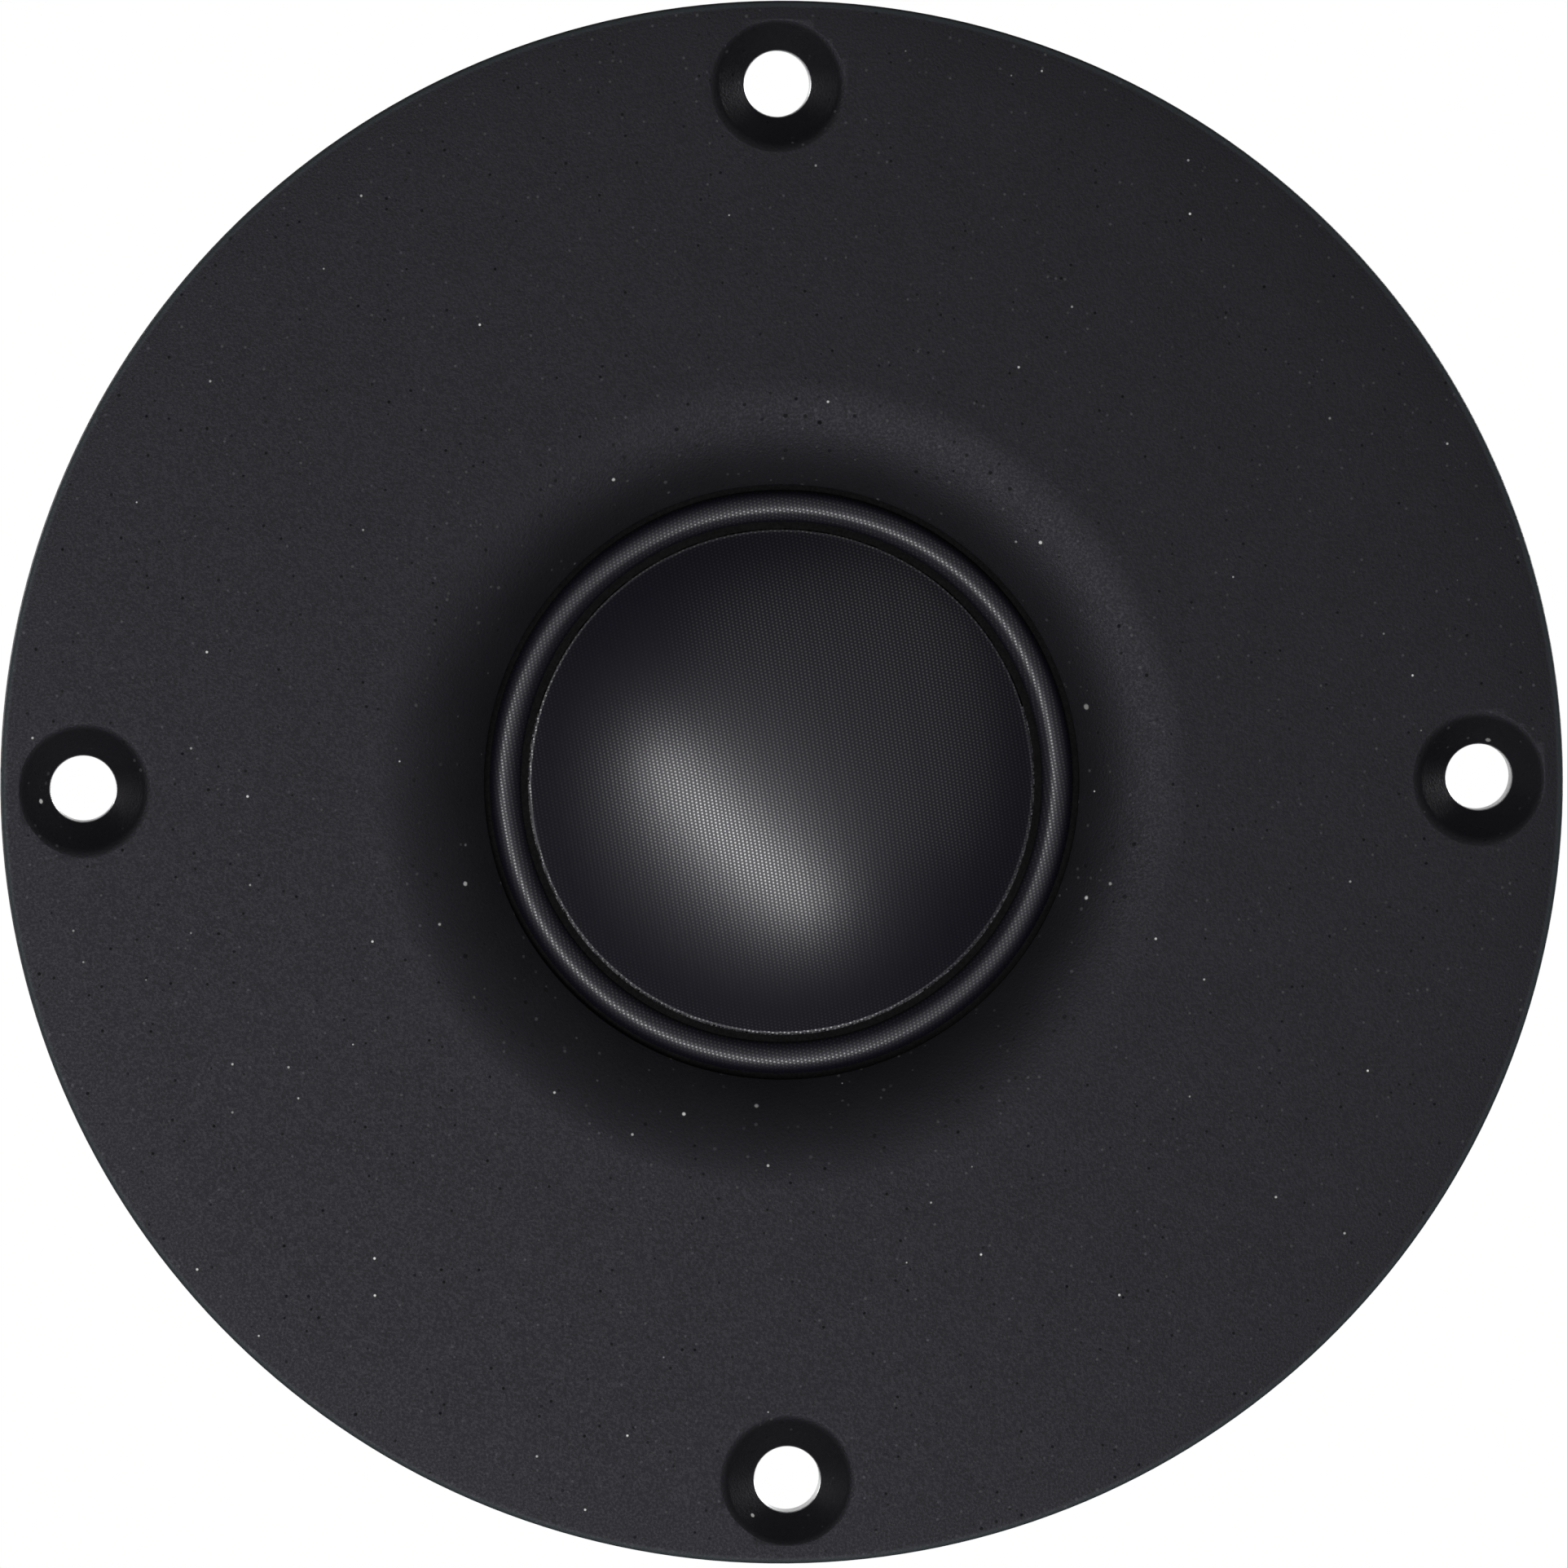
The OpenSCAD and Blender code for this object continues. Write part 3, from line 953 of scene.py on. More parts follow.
@dataclass(frozen=True)
class WovenCoat(Finish):
    """Plain-weave cloth with a satin damping coat that lies on the thread crowns."""

    # cloth is painted shade for the hollows between threads, crown is the thread tops painted lighter
    # as highlight
    cloth: Colour = (0.0012, 0.0011, 0.0045)
    crown: Colour = (0.0055, 0.0051, 0.0075)
    pitch: float = 0.26
    row: float = 0.11
    turn: float = 9.2
    fleck: float = 0.35
    roughness: float = 0.3
    hollow: float = 0.2
    depth: float = 0.0095
    specular: float = 0.32
    coat: float = 0.7
    coat_roughness: float = 0.31
    coat_index: float = 2.05

    def wire(self, g: Graph, shader: Inputs) -> None:
        """Thread crowns are smoother and better coated than the hollows between them, and painted
        lighter: painted highlight on the crowns, painted shade in the hollows.

        Args:
            g: The material as a graph.
            shader: The shader's inputs.
        """
        at = g.place()
        along = g.turned(at, self.turn)
        weave = g.effect(Effect.WEAVE, Vector=along, Pitch=self.pitch, Row=self.row)
        crowns = g.ramp(weave["Height"], 0.35, 0.9)
        # painted highlight: crowns lighter, warp crowns lying on top lightest; the same mask also sets
        # the coat
        bright = g.math("MULTIPLY", crowns, g.ramp(weave["Warp"], 0.0, 1.0, 0.45, 1.0))
        bright = g.math("MULTIPLY", bright, g.ramp(weave["Thread"], 0.0, 1.0, 0.8, 1.0))
        fleck = g.ramp(g.noise(at, 1 / self.fleck, 1), 0.3, 0.7)
        crown = g.mix(fleck, shade(self.crown, 0.8), shade(self.crown, 1.2))
        # base colour: painted shade in the hollows, painted highlight on the crowns
        g.feed(shader["Base Color"], g.mix(bright, self.cloth, crown))
        rough = g.ramp(crowns, 0.0, 1.0, self.roughness + self.hollow, self.roughness)
        g.feed(shader["Roughness"], rough)
        g.feed(shader["Normal"], g.bump(weave["Height"], self.depth))
        g.feed(shader["Coat Weight"], g.ramp(bright, 0.0, 0.9, self.coat * 0.12, self.coat))
        shader["Coat Roughness"].default_value = self.coat_roughness
        shader["Coat IOR"].default_value = self.coat_index
        shader["Specular IOR Level"].default_value = self.specular
        shader["Specular Tint"].default_value = (0.95, 0.93, 1.0, 1)


@dataclass(frozen=True)
class Moulding(Finish):
    """Moulded plastic, rubber or foam with a spark-eroded grain and a little dust."""

    colour: Colour = (0.016, 0.016, 0.017)
    grain: float = 0.18
    depth: float = 0.012
    roughness: float = 0.5
    specular: float = 0.5
    dust: Scatter = Scatter(5.0, 0.12, 0.4)
    dusty: Colour = (0.35, 0.35, 0.34)

    def wire(self, g: Graph, shader: Inputs) -> None:
        """Grain in tone, roughness and bump, and dust in the open.

        Args:
            g: The material as a graph.
            shader: The shader's inputs.
        """
        at = g.place()
        grain = g.effect(Effect.GRAIN, Vector=at, Size=self.grain)
        dust = self.dust.mask(g, at)
        tone = g.share(grain["Height"], 0.5, grain["Cloud"])
        colour = g.mix(tone, self.colour, shade(self.colour, 1.9))
        colour = g.mix(g.math("MULTIPLY", dust, 0.5), colour, self.dusty)
        g.feed(shader["Base Color"], colour)
        rough = g.ramp(grain["Height"], 0.0, 1.0, self.roughness + 0.1, self.roughness - 0.05)
        g.feed(shader["Roughness"], rough)
        g.feed(shader["Normal"], g.bump(grain["Height"], self.depth))
        shader["Specular IOR Level"].default_value = self.specular


@dataclass(frozen=True)
class TurnedMetal(Finish):
    """Metal with turning marks, plated or passivated, and clouded by handling."""

    colour: Colour = (0.1, 0.1, 0.105)
    roughness: float = 0.38
    marks: float = 0.12
    depth: float = 0.006
    clouds: float = 0.25

    def wire(self, g: Graph, shader: Inputs) -> None:
        """Rings in bump, clouds in tone and roughness.

        Args:
            g: The material as a graph.
            shader: The shader's inputs.
        """
        at = g.place()
        rings = g.effect(Effect.TURNING, Vector=at, Pitch=self.marks)["Height"]
        grain = g.effect(Effect.GRAIN, Vector=at, Size=0.3)
        darker = shade(self.colour, 1 - self.clouds)
        g.feed(shader["Base Color"], g.mix(grain["Cloud"], darker, self.colour))
        patch = g.share(grain["Cloud"], 0.5, rings)
        rough = g.ramp(patch, 0.2, 0.8, self.roughness - 0.06, self.roughness + 0.1)
        g.feed(shader["Roughness"], rough)
        shader["Metallic"].default_value = 1
        g.feed(shader["Normal"], g.bump(rings, self.depth))


@dataclass(frozen=True)
class Sintered(Finish):
    """Ground ferrite: dull dark grey with pores and chipped grains."""

    colour: Colour = (0.040, 0.039, 0.040)
    pores: Scatter = Scatter(0.9, 0.2, 0.5)
    # painted shade: darker colour standing for the shade inside the pores
    pore_shade: Colour = (0.012, 0.012, 0.012)
    depth: float = 0.02

    def wire(self, g: Graph, shader: Inputs) -> None:
        """Pores in bump, darkened in tone as painted shade, over broad clouds.

        Args:
            g: The material as a graph.
            shader: The shader's inputs.
        """
        at = g.place()
        grain = g.effect(Effect.GRAIN, Vector=at, Size=0.4)
        pores = self.pores.mask(g, at)
        tone = g.share(grain["Height"], 0.4, grain["Cloud"])
        # painted shade: the pores are darkened in colour
        colour = g.mix(pores, g.mix(tone, self.colour, shade(self.colour, 1.6)), self.pore_shade)
        g.feed(shader["Base Color"], colour)
        g.feed(shader["Roughness"], g.ramp(tone, 0.0, 1.0, 0.62, 0.48))
        g.feed(shader["Normal"], g.bump(g.math("SUBTRACT", grain["Height"], pores), self.depth))


@dataclass(frozen=True)
class Fibre(Finish):
    """Felt or loose wadding."""

    colour: Colour = (0.3, 0.3, 0.31)
    size: float = 0.8
    depth: float = 0.15

    def wire(self, g: Graph, shader: Inputs) -> None:
        """Fibres lighter than the gaps between them, which get painted shade.

        Args:
            g: The material as a graph.
            shader: The shader's inputs.
        """
        at = g.place()
        fibres = g.effect(Effect.FIBRES, Vector=at, Size=self.size)["Height"]
        # painted shade: the gaps between fibres are darker than the fibres
        g.feed(shader["Base Color"], g.mix(fibres, shade(self.colour, 0.55), self.colour))
        g.feed(shader["Roughness"], g.ramp(fibres, 0.0, 1.0, 1.0, 0.85))
        g.feed(shader["Normal"], g.bump(fibres, self.depth))


@dataclass(frozen=True)
class Braid(Finish):
    """Tinsel lead: fine copper strands laid round the wire."""

    colour: Colour = (0.72, 0.40, 0.24)
    lay: float = 0.5
    depth: float = 0.05

    def wire(self, g: Graph, shader: Inputs) -> None:
        """Slanted strands in tone and bump.

        Args:
            g: The material as a graph.
            shader: The shader's inputs.
        """
        at = g.place()
        x, y, z = g.split(at)
        way = g.math("ADD", g.math("MULTIPLY", x, 2), g.math("ADD", z, y))
        strands = g.math("PINGPONG", way, self.lay / 2)
        lit = g.ramp(strands, 0.0, self.lay / 2)
        g.feed(shader["Base Color"], g.mix(lit, shade(self.colour, 0.35), self.colour))
        shader["Metallic"].default_value = 1
        g.feed(shader["Roughness"], g.ramp(lit, 0.0, 1.0, 0.6, 0.34))
        g.feed(shader["Normal"], g.bump(lit, self.depth))


class Stock:
    """The finishes of this tweeter."""

    CAST = PowderCoat("cast_black")
    BARE = TurnedMetal("bare_casting", colour=(0.62, 0.62, 0.63), roughness=0.42)
    DOME = WovenCoat("dome_fabric")
    ROLL = WovenCoat("surround_fabric", roughness=0.35, coat=0.47, coat_roughness=0.34)
    MOULDED = Moulding("moulded_black")
    RUBBER = Moulding("rubber_black", colour=(0.012, 0.012, 0.012), roughness=0.66)
    GLUE = Moulding("edge_glue", colour=(0.0015, 0.0015, 0.0015), roughness=0.85, specular=0.1)
    FOAM = Moulding("foam_black", colour=(0.017, 0.017, 0.018), grain=0.5, depth=0.1, roughness=0.9)
    FOIL = TurnedMetal("former_aluminium", colour=(0.72, 0.72, 0.74), roughness=0.3)
    BRAID = Braid("lead_braid")
    COPPER_CAP = TurnedMetal("copper_plate", colour=(0.78, 0.42, 0.27), roughness=0.34)
    COPPER = TurnedMetal("copper", colour=(0.78, 0.40, 0.24), roughness=0.3, marks=0.16, depth=0.03)
    TINNED = TurnedMetal("tinned_blade", colour=(0.72, 0.70, 0.64), roughness=0.28)
    BLACK_ZINC = TurnedMetal("black_zinc", colour=(0.085, 0.085, 0.09), roughness=0.4)
    FERRITE = Sintered("ferrite")
    FELT = Fibre("felt", colour=(0.16, 0.16, 0.165), size=0.7)
    WADDING = Fibre("wadding", colour=(0.7, 0.69, 0.66), size=1.6, depth=0.4)
    SCREW = TurnedMetal("screw_steel", colour=(0.58, 0.58, 0.60), roughness=0.3)


# ---------------------------------------------------------------------------------------------
# The tweeter's sub-assemblies
# ---------------------------------------------------------------------------------------------


def hand_over(
    obj: bpy.types.Object, body: str | None, slot: str, finishes: list[Finish], *nodes: str
) -> None:
    """Gives a finished piece its materials and its body, and hides the CAD nodes that it stands for.

    Args:
        obj: The piece.
        body: The body that it rides on, or None to leave it without one.
        slot: The record's material slot. Not used.
        finishes: The finishes of its material slots, in order.
        *nodes: The CAD nodes that it replaces.
    """
    for finish in finishes:
        obj.data.materials.append(finish.material())
    if body:
        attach(obj, body)
    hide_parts(*nodes)
    log.info("%s: %d faces, for %s", obj.name, len(obj.data.polygons), ", ".join(nodes))


@dataclass
class Faceplate:
    """The die-cast flange with its rolled-in mouth, its holes and the gasket in its back."""

    outer: float = Span.of("faceplate").radius
    rear: float = Span.of("faceplate").rear
    front: float = Span.of("faceplate").front
    rim_round: float = 0.38
    rim_run: float = 6.0
    rim_fall: float = 0.14
    mouth: float = 27.1
    lip: float = 19.85
    lip_front: float = 1.5
    seat: float = 0.85
    recess: float = 30.8
    hub: float = 36.0
    groove: Point = (38.5, 43.0)
    groove_depth: float = 1.0
    hole_circle: float = 46.5
    hole: float = 2.2
    countersink: float = 4.25
    countersink_edge: float = 1.3
    gasket_gap: float = 0.05
    ear_room: tuple[float, float, float] = (7.5, 1.95, -34.5)  # half width, height and lowest z
    block_room: tuple[float, float, float] = (6.2, 3.5, -34.0)
    room_inner: float = -29.9

    def build(self) -> None:
        """Makes the casting and its gasket."""
        plate = Bench.lathe("faceplate_casting", self.section())
        Bench.cut(plate, Bench.copies(self.hole_cutter(), PLATE_HOLES))
        Bench.cut(plate, [self.pocket(*self.ear_room), self.pocket(*self.block_room)])
        Bench.smooth(plate, 32)
        Bench.steady(plate)
        self.bare_bores(plate)
        hand_over(plate, "frame", "cast_black", [Stock.CAST, Stock.BARE], "faceplate")
        self.gasket()

    def gasket(self) -> None:
        """Makes the foam ring in the groove."""
        inner = self.groove[0] + self.gasket_gap
        outer = self.groove[1] - self.gasket_gap
        ring = [
            Corner(inner, self.groove_depth),
            Corner(inner, 0, 0.2),
            Corner(outer, 0, 0.2),
            Corner(outer, self.groove_depth),
        ]
        gasket = Bench.lathe("baffle_gasket_ring", rounded(ring))
        Bench.smooth(gasket, 50)
        hand_over(gasket, "frame", "foam_black", [Stock.FOAM], "baffle_gasket")

    def section(self) -> list[Point]:
        """The casting's half section.

        Returns:
            Its outline, from the mouth's outer edge inwards and round the back.
        """
        drop = self.front - self.lip_front
        run = self.mouth - self.lip
        radius = (run**2 + drop**2) / (2 * drop)
        end = 90 + math.degrees(math.asin(run / radius))
        mouth = arc((self.mouth, self.front - radius), radius, 90, end, 24)
        nose = rounded(
            [
                Corner(*mouth[-2]),
                Corner(self.lip, self.lip_front, 0.12),
                Corner(self.lip, self.seat, 0.08),
                Corner(self.recess, self.seat, 0.2),
                Corner(self.recess, self.rear, 0.3),
                Corner(self.hub, self.rear, 0.4),
                Corner(self.hub, 0, 0.3),
                Corner(self.groove[0], 0, 0.15),
                Corner(self.groove[0], self.groove_depth),
                Corner(self.groove[1], self.groove_depth),
                Corner(self.groove[1], 0, 0.15),
                Corner(self.outer, 0, 0.3),
                Corner(self.outer, self.front - self.rim_fall, self.rim_round),
                *self.brow(),
                Corner(35.0, self.front),
            ],
            closed=False,
        )
        return mouth[:-2] + nose

    def brow(self) -> list[Corner]:
        """The front face's slight fall towards the rim.

        Returns:
            Its corners from the outside inwards.
        """
        steps = 5
        runs = [self.rim_run * k / steps for k in range(1, steps + 1)]
        falls = [self.rim_fall * (1 - run / self.rim_run) ** 2 for run in runs]
        return [Corner(self.outer - run, self.front - fall) for run, fall in zip(runs, falls)]

    def hole_cutter(self) -> bpy.types.Object:
        """The shape of one hole, with the soft outer edge that the coat leaves.

        Returns:
            The hole at three o'clock.
        """
        depth = self.countersink - self.hole
        corners = [
            Corner(0, -1),
            Corner(self.hole, -1),
            Corner(self.hole, self.front - depth, 0.2),
            Corner(self.countersink, self.front, self.countersink_edge),
            Corner(self.countersink + 1, self.front + 0.03),
            Corner(self.countersink + 1, self.front + 1),
            Corner(0, self.front + 1),
        ]
        cutter = Bench.lathe("hole", rounded(corners, closed=False, steps=8), closed=False, steps=72)
        cutter.location = (self.hole_circle * MM, 0, 0)
        return Bench.settle(cutter)

    def pocket(self, half: float, height: float, low: float) -> bpy.types.Object:
        """Room in the hub for a part of the terminal block.

        Args:
            half: Its width on each side.
            height: How far forwards it goes.
            low: Its lowest z.

        Returns:
            The block to cut out.
        """
        inner = self.room_inner
        return Bench.block("pocket", (-half, -height, low), (half, -self.rear + 0.5, inner))

    def bare_bores(self, plate: bpy.types.Object) -> None:
        """Leaves the walls of the four bores without paint, up to where the paint is chipped.

        Args:
            plate: The casting.
        """
        chip_up, chip_out, flat = 0.12, 0.16, 0.8
        edge = self.front - (self.countersink - self.hole) + chip_up
        for face in plate.data.polygons:
            x, y, z = face.center / MM
            far, near = max(abs(x), abs(z)), min(abs(x), abs(z))
            off = math.hypot(far - self.hole_circle, near)
            upright = abs(face.normal.y) < flat
            face.material_index = int(upright and -y < edge and off < self.hole + chip_out)


@dataclass
class Diaphragm:
    """The dome with its bead, the half-roll and the two lead-out wires."""

    base: float = 0.95
    radius: float = 16.6
    apex: float = Span.of("dome").front
    wall: float = 0.35
    lip: Point = (16.0, 17.0)
    seat: float = 0.85
    roll_mid: float = 18.425
    roll: float = 1.075
    skin: float = 0.25
    cuff: float = 16.5
    rim: float = Span.of("surround").radius
    glued: float = 0.06
    wire: float = 0.25
    wire_bend: Point = (-19.8, -17.2)  # z where the wire starts to bend, and where it ends
    wire_route: tuple[Point, ...] = (
        (-16.95, -1.1), (-17.3, -1.7), (-17.9, -2.2), (-18.6, -2.2), (-19.2, -1.7),
        (-19.8, -1.1), (-20.6, -0.9), (-26, -0.9), (-31.4, -0.9), (-32.4, -0.95),
        (-33, -1.1), (-33.2, -1.35),
    )  # fmt: skip

    def build(self) -> None:
        """Makes the dome, the half-roll and the wires."""
        self.cap()
        self.half_roll()
        for node, x in (("lead_positive", POSITIVE_X), ("lead_negative", NEGATIVE_X)):
            lead = self.lead(f"{node}_braid", x)
            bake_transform(lead)
            hand_over(lead, None, "copper", [Stock.BRAID], node)

    def cap(self) -> None:
        """Makes the dome."""
        dome = Bench.lathe("dome_cap", self.dome_section(), closed=False, steps=192)
        Bench.smooth(dome, 40)
        hand_over(dome, "diaphragm", "dome_fabric", [Stock.DOME], "dome")

    def half_roll(self) -> None:
        """Makes the half-roll, with glue on its flat cuff and its flat rim."""
        roll = Bench.lathe("surround_half_roll", self.roll_section())
        Bench.smooth(roll, 40)
        reach = self.roll - self.glued
        for face in roll.data.polygons:
            off = abs(math.hypot(face.center.x, face.center.z) / MM - self.roll_mid)
            face.material_index = int(off > reach)
        self.bend_outwards(roll)
        hand_over(roll, None, "surround_fabric", [Stock.ROLL, Stock.GLUE], "surround")

    def dome_section(self) -> list[Point]:
        """The dome's half section.

        Returns:
            The outline from the apex over the bead on the lip and back to the axis inside.
        """
        rise = self.apex - self.base
        sphere = (self.radius**2 + rise**2) / (2 * rise)
        centre = (0.0, self.apex - sphere)
        edge = math.degrees(math.acos((self.radius + 0.08) / sphere))
        outside = arc(centre, sphere, 90, edge, 56)
        shoulder = rounded(
            [
                Corner(*outside[-2]),
                Corner(*outside[-1], 0.05),
                Corner(self.lip[1] - 0.1, outside[-1][1] - 0.07, 0.05),
                Corner(self.lip[1] - 0.09, self.seat),
            ],
            closed=False,
        )
        inner = sphere - self.wall
        inside = arc(centre, inner, math.degrees(math.acos(self.lip[0] / inner)), 90, 40)
        front = [(0.0, self.apex)] + outside[1:-2] + shoulder
        return front + [(self.lip[0], self.seat)] + inside[:-1] + [(0.0, self.apex - self.wall)]

    def roll_section(self) -> list[Point]:
        """The half-roll's section.

        Returns:
            The outline, over the roll from the cuff outwards and back underneath.
        """
        low = self.seat - self.skin
        reach = math.sqrt(self.roll**2 - self.skin**2)
        dip = math.degrees(math.asin(self.skin / self.roll))
        over = arc((self.roll_mid, low), self.roll, 180 - dip, dip, 32)
        under = arc((self.roll_mid, low), self.roll - self.skin, 0, 180, 24)
        flat = reach + 0.12
        inner = [(self.cuff, self.seat), (self.roll_mid - flat, self.seat)]
        outer = [(self.roll_mid + flat, self.seat), (self.rim, self.seat)]
        return inner + over + outer + [(self.rim, low)] + under + [(self.cuff, low)]

    def bend_outwards(self, roll: bpy.types.Object) -> None:
        """Lays the roll's points out by their distance from the axis, bakes its transform into the
        mesh, and puts the points back.

        Args:
            roll: The half-roll.
        """
        places = [v.co.copy() for v in roll.data.vertices]
        for v in roll.data.vertices:
            v.co = (math.hypot(v.co.x, v.co.z), 0, 0)
        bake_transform(roll)
        for v, place in zip(roll.data.vertices, places):
            v.co = place

    def lead(self, name: str, x: float) -> bpy.types.Object:
        """A lead-out wire along its route in the plane at one x.

        Args:
            name: The wire's name.
            x: Where the plane lies.

        Returns:
            The wire, as a closed tube.
        """
        Bench.clear()
        ways = [Vector((x, -h, z)) * MM for z, h in self.wire_route]
        halves = [(a + b) / 2 for a, b in pairwise(ways)]
        smooth = [ways[0], halves[0]]
        for way, before, after in zip(ways[1:], halves, halves[1:]):
            smooth += [way * 0.5 + (before + after) / 4, after]
        smooth.append(ways[-1])
        curve = bpy.data.curves.new(name, "CURVE")
        curve.dimensions = "3D"
        curve.bevel_depth = self.wire * MM
        curve.bevel_resolution = 2
        curve.use_fill_caps = True
        line = curve.splines.new("POLY")
        line.points.add(len(smooth) - 1)
        for point, at in zip(line.points, smooth):
            point.co = (*at, 1)
        obj = bpy.data.objects.new(name, curve)
        bpy.context.collection.objects.link(obj)
        Bench.pick(obj)
        bpy.ops.object.convert(target="MESH")
        obj = bpy.context.object
        Bench.smooth(obj, 60)
        return obj


def drill(radius: float, circle: float, low: float, high: float) -> bpy.types.Object:
    """The shape of a drilled hole at three o'clock.

    Args:
        radius: The hole's radius.
        circle: Its distance from the axis.
        low: Height of its rear end.
        high: Height of its front end.

    Returns:
        The shape to cut out.
    """
    return Bench.bar(radius, (circle, -(low + high) / 2, 0), high - low, 48)


@dataclass(frozen=True)
class PanScrew:
    """A pan head screw along the axis with its head to the rear.

    The head lies below height top, and the shank reaches up from there.
    """

    shank: float
    head: float
    thickness: float
    top: float
    reach: float

    def build(self, name: str, circle: float) -> bpy.types.Object:
        """Makes the screw at three o'clock.

        Args:
            name: The screw's name.
            circle: Distance of the screw from the axis.

        Returns:
            The screw with its cross recess.
        """
        screw = Bench.lathe(name, self.section(), closed=False, steps=48)
        Bench.cut(screw, self.recess())
        Bench.soften(screw, 0.05, 50, 1)
        Bench.smooth(screw, 35)
        screw.location = (circle * MM, 0, 0)
        return Bench.settle(screw)

    def section(self) -> list[Point]:
        """The screw's half section.

        Returns:
            Its outline from the middle of the head's crown to the middle of the tip.
        """
        crown_radius = self.head * 1.25
        low = self.top - self.thickness
        rim = low + crown_radius - math.sqrt(crown_radius**2 - self.head**2)
        end = -90 + math.degrees(math.asin(self.head / crown_radius))
        crown = arc((0, low + crown_radius), crown_radius, -90, end, 10)
        tip = self.top + self.reach
        corners = [
            Corner(*crown[-1]),
            Corner(self.head, rim + 0.1, 0.05),
            Corner(self.head, self.top, 0.12),
            Corner(self.shank, self.top, 0.1),
            Corner(self.shank, tip - 0.5),
            Corner(self.shank * 0.7, tip),
            Corner(0, tip),
        ]
        return [(0.0, low)] + crown[1:-1] + rounded(corners, closed=False)

    def recess(self) -> list[bpy.types.Object]:
        """The cross recess.

        Returns:
            Its two slots, as the shapes to cut out.
        """
        wide = self.head * 0.6
        thin = self.head * 0.12
        low = self.top - self.thickness
        deep = low + self.thickness * 0.55
        slots = []
        for x, z in ((wide, thin), (thin, wide)):
            slots.append(Bench.block("slot", (-x, -deep, -z), (x, -low + 0.5, z)))
        return slots


@dataclass
class Motor:
    """Front plate, ring magnet, back plate with its pole, and the four screws that hold them."""

    plate: Span = Span.of("top_plate")
    magnet: Span = Span.of("ferrite_magnet")
    yoke: Span = Span.of("pole_yoke")
    gap: float = 17.75
    bore: float = 19.5
    pole: float = 16.2
    vent: float = 8.0
    screw_circle: float = 33.4
    screw_hole: float = 1.7
    pin_circle: float = 26.0
    pin_hole: float = 1.3
    plate_drilled: Point = (-9.0, -3.0)  # heights of the drilled holes' two ends
    notch_half: float = 6.6
    notch_span: Point = (-41, -31)  # z of its outer and its inner side
    magnet_edge: float = 0.55
    yoke_edge: float = 0.7
    thread_circle: float = 25.2
    thread_hole: float = 1.25
    thread_span: Point = (-30, -21)  # heights of the two ends

    def build(self) -> None:
        """Makes the motor's three rings and its screws."""
        self.front_plate()
        self.ring_magnet()
        self.back_plate()
        self.screws()

    def front_plate(self) -> None:
        """Makes the front plate with its holes and the notch for the terminal block."""
        p = self.plate
        section = [
            Corner(self.gap, p.rear, 0.15),
            Corner(p.radius, p.rear, 0.35),
            Corner(p.radius, p.front, 0.35),
            Corner(self.gap, p.front, 0.15),
        ]
        plate = Bench.lathe("top_plate_steel", rounded(section))
        screw_hole = drill(self.screw_hole, self.screw_circle, *self.plate_drilled)
        holes = Bench.copies(screw_hole, MOTOR_SCREWS)
        pin_hole = drill(self.pin_hole, self.pin_circle, *self.plate_drilled)
        pins = Bench.copies(pin_hole, PINS)
        outer, inner = self.notch_span
        low = (-self.notch_half, -p.front - 0.5, outer)
        notch = Bench.block("notch", low, (self.notch_half, -p.rear + 0.5, inner))
        Bench.cut(plate, [*holes, *pins, notch])
        Bench.smooth(plate)
        hand_over(plate, "frame", "black_zinc", [Stock.BLACK_ZINC], "top_plate")

    def ring_magnet(self) -> None:
        """Makes the magnet with its ground edges."""
        m = self.magnet
        edge = self.magnet_edge
        section = [
            Corner(self.bore, m.rear, 0.3),
            Corner(m.radius - edge, m.rear, 0.1),
            Corner(m.radius, m.rear + edge, 0.3),
            Corner(m.radius, m.front - edge, 0.3),
            Corner(m.radius - edge, m.front, 0.1),
            Corner(self.bore, m.front, 0.3),
        ]
        ring = Bench.lathe("ferrite_ring", rounded(section))
        Bench.smooth(ring)
        hand_over(ring, "frame", "ferrite", [Stock.FERRITE], "ferrite_magnet")

    def back_plate(self) -> None:
        """Makes the back plate with its vented pole and the holes for the cup's screws."""
        y = self.yoke
        face = self.magnet.rear
        section = [
            Corner(self.vent, y.rear, 0.5),
            Corner(y.radius - self.yoke_edge, y.rear, 0.2),
            Corner(y.radius, y.rear + self.yoke_edge, 0.3),
            Corner(y.radius, face, 0.2),
            Corner(self.pole, face),
            Corner(self.pole, y.front),
            Corner(self.vent, y.front),
        ]
        yoke = Bench.lathe("pole_yoke_steel", rounded(section))
        hole = drill(self.thread_hole, self.thread_circle, *self.thread_span)
        Bench.cut(yoke, Bench.copies(hole, CHAMBER_SCREWS))
        Bench.smooth(yoke)
        hand_over(yoke, "frame", "black_zinc", [Stock.BLACK_ZINC], "pole_yoke")

    def screws(self) -> None:
        """Makes the four screws that hold the motor to the faceplate."""
        reach = self.plate.front - self.plate.rear + 5.5
        screw = PanScrew(shank=1.45, head=2.5, thickness=1.8, top=self.magnet.front, reach=reach)
        screws = Bench.copies(screw.build("motor_screw", self.screw_circle), MOTOR_SCREWS)
        four = Bench.join("motor_screw_set", screws)
        hand_over(four, "frame", "screw_steel", [Stock.SCREW], "motor_screws")


